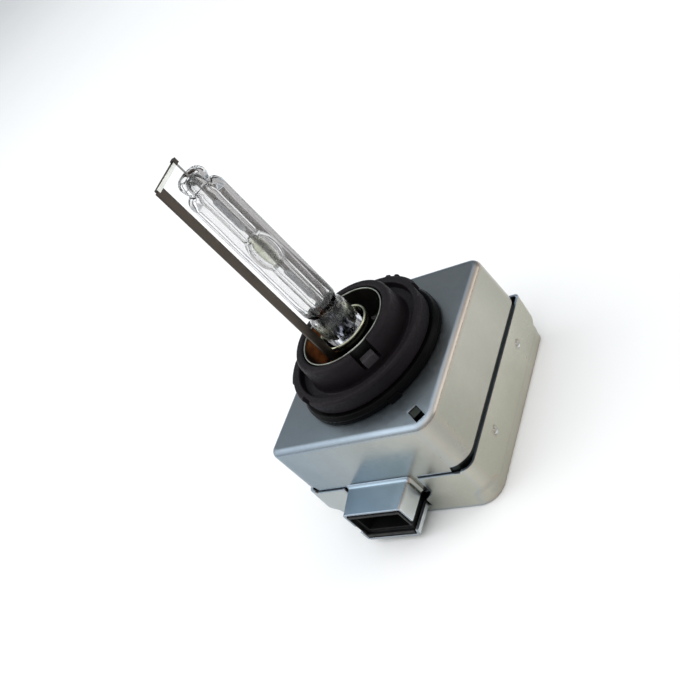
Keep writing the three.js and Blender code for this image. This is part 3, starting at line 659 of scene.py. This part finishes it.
def sleeve_steel():
    """Painted shade deep in the bore, below a rim of bright steel."""
    s = Shader("sleeve_steel", (0.05, 0.05, 0.045), 0.3, Specular_IOR_Level=0.15)
    place = s.axes("Object")
    height = place[2]
    stain = s.noise(500, 4, 0.6)
    rim = s.span(height, (SLEEVE_HIGH[2] - 0.32) * MM, (SLEEVE_HIGH[2] - 0.1) * MM)
    dark = s.mix(s.span(stain, 0.35, 0.7), (0.010, 0.010, 0.009), (0.004, 0.004, 0.004))
    bright = s.mix(s.span(stain, 0.35, 0.7), (0.50, 0.51, 0.45), (0.28, 0.30, 0.25))
    # Painted reflection of the core: an amber patch on the -X side of the bore, in the core's colour.
    patch = s.times(s.span(place[0], -0.0082, -0.0092), s.span(height, 0.0348, 0.0338))
    patch = s.times(patch, s.span(height, 0.0272, 0.0292))
    dark = s.mix(patch, dark, s.mix(s.span(stain, 0.3, 0.7), (0.34, 0.12, 0.035), (0.12, 0.04, 0.015)))
    rough = s.span(stain, 0.3, 0.7, 0.30, 0.46)
    bump = s.bump(stain, 0.00004, 0.3)
    s.set(Metallic=rim)
    return s.surface(s.mix(rim, dark, bright), rough, bump)


SLEEVE_STEEL = sleeve_steel()
CUP_STEEL = cup_steel()
SEAL_RUBBER = rubber()
AMBER = amber()
BOARD = board()
FERRITE = mineral("ferrite", (0.035, 0.034, 0.033), (0.015, 0.015, 0.015), 0.6, 1200)
CERAMIC = mineral("ceramic", (0.62, 0.59, 0.52), (0.52, 0.48, 0.41), 0.45, 900)
FILM = mineral("film_blue", (0.035, 0.08, 0.20), (0.02, 0.05, 0.13), 0.38, 700)


# ---------- making pieces ----------

def dress(obj, material):
    """Gives a new mesh its first material. Faces may already point at a second one."""
    obj.data.materials.append(material)


def second_material(obj):
    for face in obj.data.polygons:
        face.material_index = 1


def stand_for(obj, material, node):
    """The finished mesh takes the place of a CAD node."""
    dress(obj, material)
    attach(obj, "root")
    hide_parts(node)


# Front half of the igniter box.

SHELL_CORNERS = [4.2, 3.0, 3.0, 2.2]
SHELL_ROUND = 1.4
SHELL_EDGE_Z = 12.1
SHELL_LOW_EDGE_Z = 10.8
SKIRT_INSET = 0.9
HOLE_R = 14.2
HOOD_RIGHT = 5.9
HOOD_LEFT = (-10.4, -9.2)
HOOD_LOW, HOOD_TOP = 6.3, 10.7
TABS_X = (-10.97, 7.96)
MOUTH_X = (-9.83, 5.3)


def shell_ring(z, inset):
    return [(x, y, z) for x, y in outline(-HALF, HALF, -HALF, HALF, SHELL_CORNERS, inset)]


def low_edge(x):
    """The height of the shell's edge on its lower side: a tab goes down on each side of the hood."""
    if not TABS_X[0] <= x <= TABS_X[1]:
        return SHELL_LOW_EDGE_Z
    return HOOD_TOP - SHEET if MOUTH_X[0] <= x <= MOUTH_X[1] else HOOD_LOW - 0.6


def shell_rings():
    rings = [shell_ring(SHELL_EDGE_Z, 0.0), shell_ring(SHELL_EDGE_Z + 0.25, 0.0)]
    for i in LOW_SIDE:
        x, y, _ = rings[0][i]
        rings[0][i] = (x, y, low_edge(x))
        rings[1][i] = (x, y, low_edge(x) + 0.25)
    flat_z = FRONT_Z - SHELL_ROUND
    rings += [shell_ring(z, 0.0) for z in (13.4, 15.6, 18.0, 20.6, flat_z - 0.3, flat_z)]
    for k in range(1, 10):
        t = math.radians(10 * k)
        rings.append(shell_ring(flat_z + SHELL_ROUND * math.sin(t), SHELL_ROUND * (1 - math.cos(t))))
    flat = outline(-HALF, HALF, -HALF, HALF, SHELL_CORNERS, SHELL_ROUND)
    for share in (0.03, 0.12, 0.35, 0.6, 0.85, 0.985, 1.0):
        row = []
        for x, y in flat:
            angle = math.atan2(y, x)
            hx, hy = HOLE_R * math.cos(angle), HOLE_R * math.sin(angle)
            row.append((x + (hx - x) * share, y + (hy - y) * share, FRONT_Z))
        rings.append(row)
    return rings


def skirt_rings():
    """The skirt's lower edge is drawn in, because the cover's upper wall slopes inwards there."""
    stops = [(6.1, 0.35), (6.4, 0.35), (8.5, 0.0), (10.8, 0.0), (12.6, 0.0), (12.9, -0.1), (13.0, -0.35)]
    return [shell_ring(z, SKIRT_INSET + more) for z, more in stops]


def hood_rings():
    """The folded hood round the connector, flared where it leaves the wall."""
    rings = []
    stops = [MOUTH_Y + 0.2, MOUTH_Y + 0.35, -26.4, -24.6, -23.0, -22.2]
    stops += [-HALF - 0.8 + 0.16 * k for k in range(6)]
    for y in stops:
        share = (y - MOUTH_Y) / (-HALF - MOUTH_Y)
        left = HOOD_LEFT[1] + (HOOD_LEFT[0] - HOOD_LEFT[1]) * share
        flare = 0.55 * max(0.0, (y + HALF + 0.8) / 0.8) ** 2
        right, top = HOOD_RIGHT + flare * 0.8, HOOD_TOP + flare
        left -= flare * 0.5
        bend = 0.75
        path = [(left, HOOD_LOW), (left, HOOD_LOW + 0.2), (left, 8.4), (left, top - bend)]
        path += arc(left + bend, top - bend, bend, bend, range(165, 89, -15))
        path += [(left + bend + (right - left - 2 * bend) * t, top) for t in (0.15, 0.5, 0.85)]
        path += arc(right - bend, top - bend, bend, bend, range(90, -1, -15))
        path += [(right, 8.4), (right, HOOD_LOW + 0.2), (right, HOOD_LOW)]
        rings.append([(x, y, z) for x, z in path])
    return rings


KEY_SLOT_AT = (17.1, -17.4)
KEY_SLOT_TURN = -42
KEY_SLOT = (4.0, 2.1)


def make_front_shell():
    shell = formed("front_half", loft(shell_rings()))
    solidify(shell)
    width, height = KEY_SLOT
    slot = solid_block((-width / 2, width / 2), (-height / 2, height / 2), (-2, 2))
    cut(shell, turned_about_z(slot, KEY_SLOT_TURN, (*KEY_SLOT_AT, FRONT_Z)))
    soften(shell, 0.10)

    skirt = formed("skirt", loft(skirt_rings()))
    solidify(skirt, 0.55)
    cut(skirt, solid_block((-11.3, 8.7), (-HALF - 1, -HALF + 1.9), (2, SHELL_EDGE_Z)))
    hood = formed("hood", loft(hood_rings(), close_rings=False))
    solidify(hood, SHEET)
    soften(hood, 0.07)

    # The lanced flap behind the key slot, bent inwards from the slot's left edge.
    flap = bent_sheet([(-2.3, 0.0), (-1.9, -0.08), (-0.4, -0.38)], 0.3, 0.3)
    flap = extruded(flap, "y", -0.95, 0.95, 0.05)
    flap = turned_about_z(flap, KEY_SLOT_TURN, (*KEY_SLOT_AT, FRONT_Z - 0.42))
    flap = mesh_object("flap", *flap)
    # The skirt and the flap take SHADE_STEEL: painted shade in the seam gap and behind the key slot.
    for dark in (skirt, flap):
        second_material(dark)
    join_meshes(shell, skirt, hood, flap)
    finish_mesh(shell)
    stand_for(shell, FRONT_STEEL, "front_shell")
    shell.data.materials.append(SHADE_STEEL)


# Rear half of the igniter box.

COVER_X = COVER_HIGH[0]
COVER_EDGE_Z, COVER_LOW_EDGE_Z = 11.0, 10.5
BACK_ROUND = 0.55


def cover_top(z):
    ahead = 20.9 + (COVER_HIGH[1] - 20.9) * max(0.0, z - 5.2) / (COVER_EDGE_Z - 5.2)
    return 19.6 + (ahead - 19.6) * smoothstep(3.75, 5.35, z)


def cover_low(z):
    return -21.9 + 0.7 * (z - 0.4) / 16.6


def cover_outline(z, inset=0.0):
    taper = smoothstep(3.4, 1.4, z) * 0.35 + 0.2 * max(0.0, (2.6 - z) / 2.6)
    back = 1 - smoothstep(3.2, 5.6, z)
    radii = [a + (b - a) * back for a, b in zip((2.6, 1.2, 1.2, 1.8), (4.8, 1.4, 1.4, 4.8))]
    half = COVER_X - taper
    return outline(-half, half, cover_low(z), cover_top(z), radii, inset)


def cover_rings():
    rings = []
    for below in (0.0, 0.3):
        z = COVER_EDGE_Z - below
        ring = [(x, y, z) for x, y in cover_outline(z)]
        for i in LOW_SIDE:
            ring[i] = (*ring[i][:2], COVER_LOW_EDGE_Z - below)
        rings.append(ring)
    # Close together where the upper wall steps down.
    levels = [9.6, 8.6, 7.6, 6.6, 5.9, 5.5, 5.2, 4.9, 4.6, 4.3, 4.0, 3.75, 3.4, 3.0, 2.6, 2.2, 1.8, 1.4, 1.0]
    rings += [[(x, y, z) for x, y in cover_outline(z)] for z in levels]
    for k in range(1, 10):
        t = math.radians(10 * k)
        z = BACK_ROUND * (1 - math.sin(t))
        rings.append([(x, y, z) for x, y in cover_outline(z, BACK_ROUND * (1 - math.cos(t)))])
    flat = cover_outline(0.0, BACK_ROUND)
    for share in (0.02, 0.1, 0.3, 0.5, 0.7, 0.88):
        rings.append([(x * (1 - share), y * (1 - share), 0.0) for x, y in flat])
    return rings


CLINCH_Y = (-10.2, 11.0)
CLINCH_Z = 7.6
CLINCH_R, CLINCH_GROOVE = 0.64, 0.33


def ring_tool(major, minor, at, segments=28, around=12):
    """A torus about the X axis, which cuts the round groove of a clinch mark into a side wall."""
    rings = []
    for k in range(segments):
        a = 2 * math.pi * k / segments
        ring = []
        for i in range(around):
            b = 2 * math.pi * i / around
            r = major + minor * math.cos(b)
            ring.append((at[0] + minor * math.sin(b), at[1] + r * math.cos(a), at[2] + r * math.sin(a)))
        rings.append(ring)
    return loft(rings, join_ends=True)


def tongue_part():
    path = [(-9.0, 4.4), (-9.0, 1.9), (4.3, 1.9), (4.85, 3.55)]
    section = bent_sheet(path, SHEET, 0.55)
    y0, y1 = MOUTH_Y, cover_low(1.9) + 0.35
    return extruded(section, "y", y0, y1, 0.06)


def make_rear_cover():
    cover = formed("rear_half", loft(cover_rings(), cap_end=True))
    solidify(cover)
    cut(
        cover,
        solid_block((-11.3, 5.6), (-23.2, -20.4), (2.2, 12)),
        extruded([(5.4, 4.2), (5.9, 4.3), (8.2, 6.0), (8.2, 12.0), (5.4, 12.0)], "y", -23.2, -20.4),
        *[ring_tool(CLINCH_R, CLINCH_GROOVE, (s * COVER_X, y, CLINCH_Z)) for s in (-1, 1) for y in CLINCH_Y],
    )
    soften(cover, 0.09)
    join_meshes(cover, formed("tongue", tongue_part()))
    # No weld here: it would close the narrow bevels at the clinch marks and leave open edges.
    finish_mesh(cover, weld=0)
    stand_for(cover, REAR_STEEL, "rear_cover")


# Collar, seal and the turned pieces in its bore.

BORE_R = 10.0
WINDOW_TURN = -45


def make_collar():
    z = SEAT_Z
    profile = filleted([
        (BORE_R, 23.5), (13.9, 23.5), (13.9, FLANGE_Z), (15.4, FLANGE_Z),
        (15.65, FLANGE_Z + 0.25), (16.2, z - 0.5), (15.9, z), (14.4, z), (14.1, z - 1.6),
        (12.4, z - 1.6), (12.15, z - 1.0), (11.75, NECK_TOP - 0.5), (11.35, NECK_TOP),
        (10.3, NECK_TOP), (BORE_R, NECK_TOP - 0.3),
    ], 0.22, 3, 0.12)
    collar = formed("collar", lathe(profile, 192))
    rim = (z - 2.6, z - 0.3)
    lobes = [
        sector(14.6, 16.3, 48, 86, *rim),
        sector(14.6, 16.75, 70, 74, *rim),
        sector(14.6, 16.75, 79, 83, *rim),
        sector(14.6, 16.45, 186, 210, *rim),
    ]
    notches = [
        sector(15.6, 18.0, 26, 46, FLANGE_Z + 0.6, z + 2, 0.05),
        sector(15.3, 18.0, -124, -113, FLANGE_Z + 0.6, z + 2, 0.05),
        turned_about_z(solid_block((BORE_R - 1, 13.9), (-2.15, 2.15), (z, NECK_TOP + 1)), WINDOW_TURN),
    ]
    cut(collar, *notches)
    soften(collar, 0.09)
    join_meshes(collar, formed("lobes", merged(*lobes)))
    finish_mesh(collar)
    stand_for(collar, COLLAR_PLASTIC, "base_collar")


def make_seal():
    low, high = SEAL_LOW[2], SEAL_HIGH[2]
    inner = 14.2
    profile = filleted([
        (inner, low), (16.3, low), (16.9, low + 0.45), (16.75, low + 0.95), (16.9, low + 1.3),
        (16.35, high - 0.1), (15.2, high), (inner, high),
    ], 0.2, 3, 0.1)
    seal = formed("seal", lathe(profile, 192))
    tab = filleted([(16.0, -1.4), (17.4, -1.4), (17.4, 1.4), (16.0, 1.4)], 0.35)
    tab = turned_about_z(extruded(tab, "z", low, low + 1.3, 0.12), -50)
    join_meshes(seal, formed("seal_tab", tab))
    finish_mesh(seal)
    stand_for(seal, SEAL_RUBBER, "seal_ring")


def make_sleeve():
    low, high = SLEEVE_LOW[2], SLEEVE_HIGH[2]
    profile = filleted([(9.45, low), (9.7, low), (9.7, high), (9.45, high)], 0.1, 3, 0.1)
    sleeve = formed("sleeve", lathe(profile, 160))
    stand_for(sleeve, SLEEVE_STEEL, "holder_sleeve")


def make_core():
    low, high = CORE_LOW[2], CORE_HIGH[2]
    radius = CORE_HIGH[0]
    profile = filleted([
        (1.4, low), (8.6, low), (radius, low + 0.4), (radius, high - 1.2), (8.5, high - 0.6),
        (7.9, high - 0.6), (7.75, high - 0.95), (7.2, high - 0.95), (7.05, high - 0.5),
        (6.45, high - 0.5), (6.2, high), (1.4, high),
    ], 0.16, 3, 0.08)
    core = formed("core", lathe(profile, 128))
    cut(core, solid_block((-0.6, 0.6), (STRIP_Y0 - 0.3, STRIP_Y1 + 0.3), (low - 1, high + 1)))
    soften(core, 0.06)
    finish_mesh(core)
    stand_for(core, AMBER, "insulator_core")


def make_cup():
    low, high = CUP_LOW[2], CUP_HIGH[2]
    radius = CUP_HIGH[0]
    profile = filleted([
        (2.3, low), (4.6, low), (5.1, low + 0.5), (5.3, high - 2.4), (5.36, high - 1.5),
        (radius - 0.1, high - 0.85), (radius, high - 0.45), (radius - 0.15, high),
        (radius - 0.5, high), (5.0, high - 1.3), (4.7, low + 0.9), (4.3, low + 0.5),
        (2.3, low + 0.5),
    ], 0.2, 3, 0.08)
    cup = formed("cup", lathe(profile, 128))
    stand_for(cup, CUP_STEEL, "burner_cup")


# Quartz tubes.

TUBE_R, TUBE_WALL = 3.95, 0.8
STEM_R = 1.85


def ripples(amount, seed):
    """Smooth, fixed irregularity of hand-worked glass, as a share of the radius."""
    waves = ((2, 1.7, 0.3), (3, 2.9, 1.9), (5, 4.1, 4.4), (7, 5.3, 2.6))

    def at(z, angle):
        total = 0.0
        for k, (turns, pitch, shift) in enumerate(waves):
            total += math.sin(turns * angle + pitch * z + shift + seed) / (k + 1.3)
        return amount * total
    return at


def make_outer_tube():
    inner = TUBE_R - TUBE_WALL
    stem_fit = STEM_R + 0.3
    foot, top = TUBE_LOW[2], TUBE_HIGH[2]
    low, high = 41.7, 74.1
    profile = [
        (stem_fit, foot), (4.0, foot), (4.15, foot + 0.9), (4.2, foot + 2.6), (4.2, foot + 4.5),
        (4.1, low - 2.4), (3.9, low - 1.7), (3.42, low - 1.1), (3.45, low - 0.7),
        (3.75, low - 0.2), (TUBE_R, low + 0.5),
    ]
    profile += [(TUBE_R, low + 1.5 + (high - low - 2.9) * k / 12) for k in range(13)]
    profile += arc(TUBE_R - 1.4, high - 0.9, 1.4, 1.5, range(11, 78, 11))
    profile += arc(2.1, top - 1.5, 0.9, 1.5, range(-55, 81, 15))
    profile += [(1.9, top - 0.1), (1.9, high + 0.2), (inner - 0.6, high - 0.6), (inner - 0.1, high - 1.3)]
    profile += [(inner, high - 2.0 - (high - low - 3.4) * k / 12) for k in range(13)]
    profile += [(inner - 0.2, low + 0.6), (stem_fit + 0.3, low - 0.4), (stem_fit, low - 1.0)]
    wobble = ripples(1.0, 0.7)

    def radius_at(r, z, angle):
        if r <= stem_fit + 0.01 or r < inner - 0.05 and z < high:
            return r
        knob = smoothstep(high + 0.4, high + 1.6, z)
        neck = smoothstep(low + 0.8, low - 0.6, z)
        share = 0.030 * knob + 0.006 * neck
        return r * (1 + share * wobble(z, angle) * 0.6) - r * share * 0.75

    tube = mesh_object("outer_glass", *lathe(profile, 112, radius_at))
    finish_mesh(tube, 70)
    stand_for(tube, OUTER_QUARTZ, "outer_tube")


def make_arc_tube():
    low, high = ARC_LOW[2], ARC_HIGH[2]
    bulb_r, half = 2.8, 4.9
    bore = 1.05
    profile = [(bore, low), (1.7, low), (STEM_R, low + 0.25)]
    profile += [(STEM_R, low + 0.25 + (ARC_Z - 6.0 - low) * k / 10) for k in range(1, 11)]
    bulb = arc(0.0, ARC_Z, bulb_r, half, [-50 + 100 * k / 28 for k in range(29)])
    profile += [(max(STEM_R * 0.93, r), z) for r, z in bulb]
    profile += [(STEM_R, ARC_Z + 4.4 + (73.4 - ARC_Z - 4.4) * k / 8) for k in range(9)]
    profile += [(1.75, 73.8), (1.6, 74.3), (1.6, high - 0.2), (1.45, high), (bore, high)]
    chamber = arc(0.02, ARC_Z, 1.45, 3.8, [46 - 92 * k / 14 for k in range(15)])
    profile += [(bore, ARC_Z + 3.1), *chamber, (bore, ARC_Z - 3.1)]
    wobble = ripples(1.0, 3.1)

    def radius_at(r, z, angle):
        away = smoothstep(3.4, 6.0, abs(z - ARC_Z))
        if r < 1.5:
            return r
        return r * (1 - 0.012 * away * (1 + wobble(z * 0.6, angle)))

    tube = mesh_object("arc_glass", *lathe(profile, 80, radius_at))
    finish_mesh(tube, 70)
    stand_for(tube, ARC_QUARTZ, "arc_tube")


# Return strip, lug, foils and leads.

def make_strip():
    x0, x1 = -0.25, 0.25
    top = STRIP_HIGH[2]
    low = STRIP_LOW[2]
    long_side = filleted([(x0, STRIP_Y0), (x1, STRIP_Y0), (x1, STRIP_Y1), (x0, STRIP_Y1)], 0.07, 2)
    leg = filleted([(x0, top - 0.9), (0.02, top - 0.9), (0.02, top), (x0, top)], 0.05, 2)
    ledge = filleted([(0.04, top - 0.9), (0.4, top - 0.9), (0.4, top - 0.12), (0.04, top - 0.12)], 0.07, 2)
    parts = merged(
        extruded(long_side, "z", low, top - 0.5, 0.1),
        extruded(leg, "y", STRIP_Y0 + 0.35, -0.55, 0.07),
    )
    strip = mesh_object("strip", *parts)
    # The ledge takes the second, pale steel: a painted reflection on the ribbon's top face.
    bright = mesh_object("ledge", *extruded(ledge, "y", STRIP_Y0 + 0.6, -0.55, 0.07))
    second_material(bright)
    join_meshes(strip, bright)
    finish_mesh(strip)
    stand_for(strip, STRIP_STEEL, "return_strip")
    strip.data.materials.append(PAINTED_HIGHLIGHT_STEEL)


def make_foil(name, node):
    """Molybdenum foil with thin edges and tapered ends."""
    low, high = box_mm(node)
    rings = []
    for k in range(25):
        t = k / 24
        z = low[2] + (high[2] - low[2]) * t
        width = (high[0] - low[0]) / 2 * (0.55 + 0.45 * smoothstep(0.0, 0.09, min(t, 1 - t)))
        thick = (high[1] - low[1]) / 2
        ring = [(width, 0.0, z), (width * 0.5, thick, z), (-width * 0.5, thick, z)]
        ring += [(-width, 0.0, z), (-width * 0.5, -thick, z), (width * 0.5, -thick, z)]
        rings.append(ring)
    foil = formed(name, loft(rings, cap_start=True, cap_end=True))
    stand_for(foil, FOIL_METAL, node)


make_front_shell()
make_rear_cover()
make_collar()
make_seal()
make_sleeve()
make_core()
make_cup()
make_outer_tube()
make_arc_tube()
make_strip()
make_foil("foil_above", "upper_foil")
make_foil("foil_below", "lower_foil")


# ---------- CAD nodes that stay, with better finishes ----------

# Each node's material, and how far its edges are rounded, in millimetres.
KEPT = {
    "inner_housing": (DARK_PLASTIC, 0.3),
    "window_tab": (GREY_PLASTIC, 0.16),
    "weld_lug": (STRIP_STEEL, 0.08),
    "connector_body": (DARK_PLASTIC, 0.12),
    "supply_pin": (CONTACT_METAL, 0.12),
    "return_pin": (CONTACT_METAL, 0.12),
    "upper_electrode": (TUNGSTEN, 0),
    "lower_electrode": (TUNGSTEN, 0),
    "upper_lead": (TUNGSTEN, 0),
    "lower_lead": (TUNGSTEN, 0),
    "circuit_board": (BOARD, 0),
    "transformer_core": (FERRITE, 0),
    "transformer_bobbin": (BOBBIN_PLASTIC, 0),
    "pulse_capacitor": (FILM, 0),
    "spark_gap": (CERAMIC, 0),
    "bleed_resistor": (CERAMIC, 0),
    "suppressor_choke": (FERRITE, 0),
    "hv_contact": (CONTACT_METAL, 0),
    "return_terminal": (CONTACT_METAL, 0),
}
KEPT.update({f"winding_{k}": (COPPER, 0) for k in range(1, 6)})

for node, (material, edge) in KEPT.items():
    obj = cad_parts[node]
    for slot in obj.material_slots:
        slot.material = material
    if edge:
        weld = obj.modifiers.new("weld", "WELD")
        weld.merge_threshold = 1e-6
        bevel = obj.modifiers.new("edges", "BEVEL")
        bevel.width = edge * MM
        bevel.segments = 3
        bevel.limit_method = "ANGLE"
        bevel.angle_limit = math.radians(40)


# ---------- floor, lights and world ----------

AZIMUTH, ELEVATION, ROLL = math.radians(49.82), math.radians(29.84), math.radians(46.0)


LIT_POINT = Vector((0, 0, 0.03))


def area_light(name, location, size, power, color):
    """A rectangular panel, placed and sized in metres, that faces the middle of the object."""
    data = bpy.data.lights.new(name, "AREA")
    data.shape = "RECTANGLE"
    data.size, data.size_y = size
    data.energy = power
    data.color = color
    obj = bpy.data.objects.new(name, data)
    obj.location = location
    obj.rotation_mode = "QUATERNION"
    obj.rotation_quaternion = (LIT_POINT - obj.location).normalized().to_track_quat("-Z", "Y")
    bpy.context.scene.collection.objects.link(obj)


def make_floor():
    half, steps = 4000.0, 8
    stops = [-half + 2 * half * k / steps for k in range(steps + 1)]
    floor = mesh_object("floor", *loft([[(x, y, 0.0) for x in stops] for y in stops], close_rings=False))
    s = Shader("floor_paper", (0.93, 0.93, 0.93), 0.75, Metallic=0.0, Specular_IOR_Level=0.1)
    tint = s.mix(s.span(s.noise(6, 2), 0.3, 0.7), (0.925, 0.927, 0.93), (0.94, 0.94, 0.938))
    dress(floor, s.set(Base_Color=tint))


FLAG_BEHIND = 34.0


def flag(name, across, height, color):
    """A studio flag behind the burner, from the camera, that glows in a fixed colour: painted shade, and
    painted light for the pale one, seen in the glass. Only rays through the glass see it.

    Across and height are its two ends to the right and upwards, in millimetres.
    """
    away = Vector((-math.sin(AZIMUTH), math.cos(AZIMUTH), 0)) * FLAG_BEHIND
    level = Vector((math.cos(AZIMUTH), math.sin(AZIMUTH), 0))
    corners = [(across[i], height[j]) for i, j in ((0, 0), (1, 0), (1, 1), (0, 1))]
    verts = [tuple(away + level * u + Vector((0, 0, h))) for u, h in corners]
    panel = mesh_object(name, verts, [(0, 1, 2, 3)])
    s = Shader(name, (0.0, 0.0, 0.0), 1.0, Specular_IOR_Level=0.0, Emission_Strength=1.0)
    fold = s.noise(1.0, 2, 0.5, s.place((60, 60, 8)))
    s.set(Emission_Color=s.mix(fold, scaled(color, 0.85), scaled(color, 1.12)))
    dress(panel, s.material)
    panel.visible_camera = panel.visible_diffuse = panel.visible_glossy = False
    panel.visible_shadow = panel.visible_volume_scatter = False


make_floor()
# Glowing flags for the glass: painted shade, and painted light from the pale flag.
flag("dark_flag", (-1.0, 16.0), (0.5, 70.0), (0.036, 0.025, 0.018))
flag("low_flag", (16.0, 120.0), (0.5, 28.0), (0.040, 0.032, 0.027))
flag("pale_flag", (16.0, 120.0), (28.0, 90.0), (0.46, 0.45, 0.45))
flag("side_flag", (-30.0, -20.0), (0.5, 90.0), (0.10, 0.10, 0.105))
area_light("overhead", (-0.10, -0.05, 0.90), (1.80, 1.80), 8.6, (1.0, 1.0, 1.0))
area_light("left_panel", (-0.62, -0.22, 0.42), (0.70, 0.70), 1.3, (0.92, 0.97, 1.0))
area_light("right_panel", (0.55, 0.38, 0.30), (0.40, 0.40), 0.8, (1.0, 0.95, 0.86))

world = bpy.data.worlds.new("studio")
bpy.context.scene.world = world
world.use_nodes = True
nodes, links = world.node_tree.nodes, world.node_tree.links
nodes.clear()


def world_node(kind, **settings):
    made = nodes.new(kind)
    for key, value in settings.items():
        setattr(made, key, value)
    return made


def world_lobe(direction, low, high):
    """1 in the middle of a soft round patch of sky and 0 outside it."""
    dot = world_node("ShaderNodeVectorMath", operation="DOT_PRODUCT")
    links.new(sky.outputs["Generated"], dot.inputs[0])
    dot.inputs[1].default_value = Vector(direction).normalized()
    spread = world_node("ShaderNodeMapRange", interpolation_type="SMOOTHSTEP")
    links.new(dot.outputs["Value"], spread.inputs["Value"])
    spread.inputs["From Min"].default_value = low
    spread.inputs["From Max"].default_value = high
    return spread.outputs[0]


def world_mix(factor, a, b):
    a, b = [(*v, 1) if isinstance(v, tuple) else v for v in (a, b)]
    made = world_node("ShaderNodeMix", data_type="RGBA")
    for socket, value in ((made.inputs[0], factor), (made.inputs[6], a), (made.inputs[7], b)):
        if isinstance(value, bpy.types.NodeSocket):
            links.new(value, socket)
        else:
            socket.default_value = value
    return made.outputs[2]


sky = world_node("ShaderNodeTexCoord")
# A dome that lights the object, with a dark patch for its steel to reflect.
dome = world_mix(world_lobe((0, 0, 1), -0.2, 0.9), (0.56, 0.56, 0.56), (0.64, 0.66, 0.68))
dome = world_mix(world_lobe((-0.42, 0.80, 0.42), 0.66, 0.98), dome, (0.22, 0.27, 0.31))
background = world_node("ShaderNodeBackground")
links.new(dome, background.inputs["Color"])
# The backdrop that the camera sees: as grey as the far floor at the horizon, and white above it.
pale = world_node("ShaderNodeBackground")
backdrop = world_mix(world_lobe((0, 0, 1), 0.0, 0.35), (0.54, 0.54, 0.54), (0.96, 0.96, 0.96))
links.new(backdrop, pale.inputs["Color"])
path = world_node("ShaderNodeLightPath")
choose = world_node("ShaderNodeMixShader")
links.new(path.outputs["Is Camera Ray"], choose.inputs[0])
links.new(background.outputs[0], choose.inputs[1])
links.new(pale.outputs[0], choose.inputs[2])
out = world_node("ShaderNodeOutputWorld")
links.new(choose.outputs[0], out.inputs["Surface"])

# ---------- camera ----------

# With the angles above, the camera solved from the box's edges and the collar's rims.
AIM = Vector((-2.371, -0.961, 32.077)) * MM
DISTANCE = 200.02 * MM
LENS = 53.147
back = Vector((
    math.sin(AZIMUTH) * math.cos(ELEVATION),
    -math.cos(AZIMUTH) * math.cos(ELEVATION),
    math.sin(ELEVATION),
))
camera_data = bpy.data.cameras.new("camera")
camera_data.sensor_width = 36
camera_data.lens = LENS
camera_data.clip_start, camera_data.clip_end = 0.005, 50
camera = bpy.data.objects.new("camera", camera_data)
bpy.context.scene.collection.objects.link(camera)
camera.location = AIM + back * DISTANCE
level = (-back).cross(Vector((0, 0, 1))).normalized()
upright = level.cross(-back)
up = upright * math.cos(ROLL) + level * math.sin(ROLL)
side = (-back).cross(up)
camera.rotation_mode = "QUATERNION"
camera.rotation_quaternion = Matrix((side, up, back)).transposed().to_quaternion()
bpy.context.scene.camera = camera
bpy.context.scene.view_settings.view_transform = "Standard"
bpy.context.scene.view_settings.look = "None"
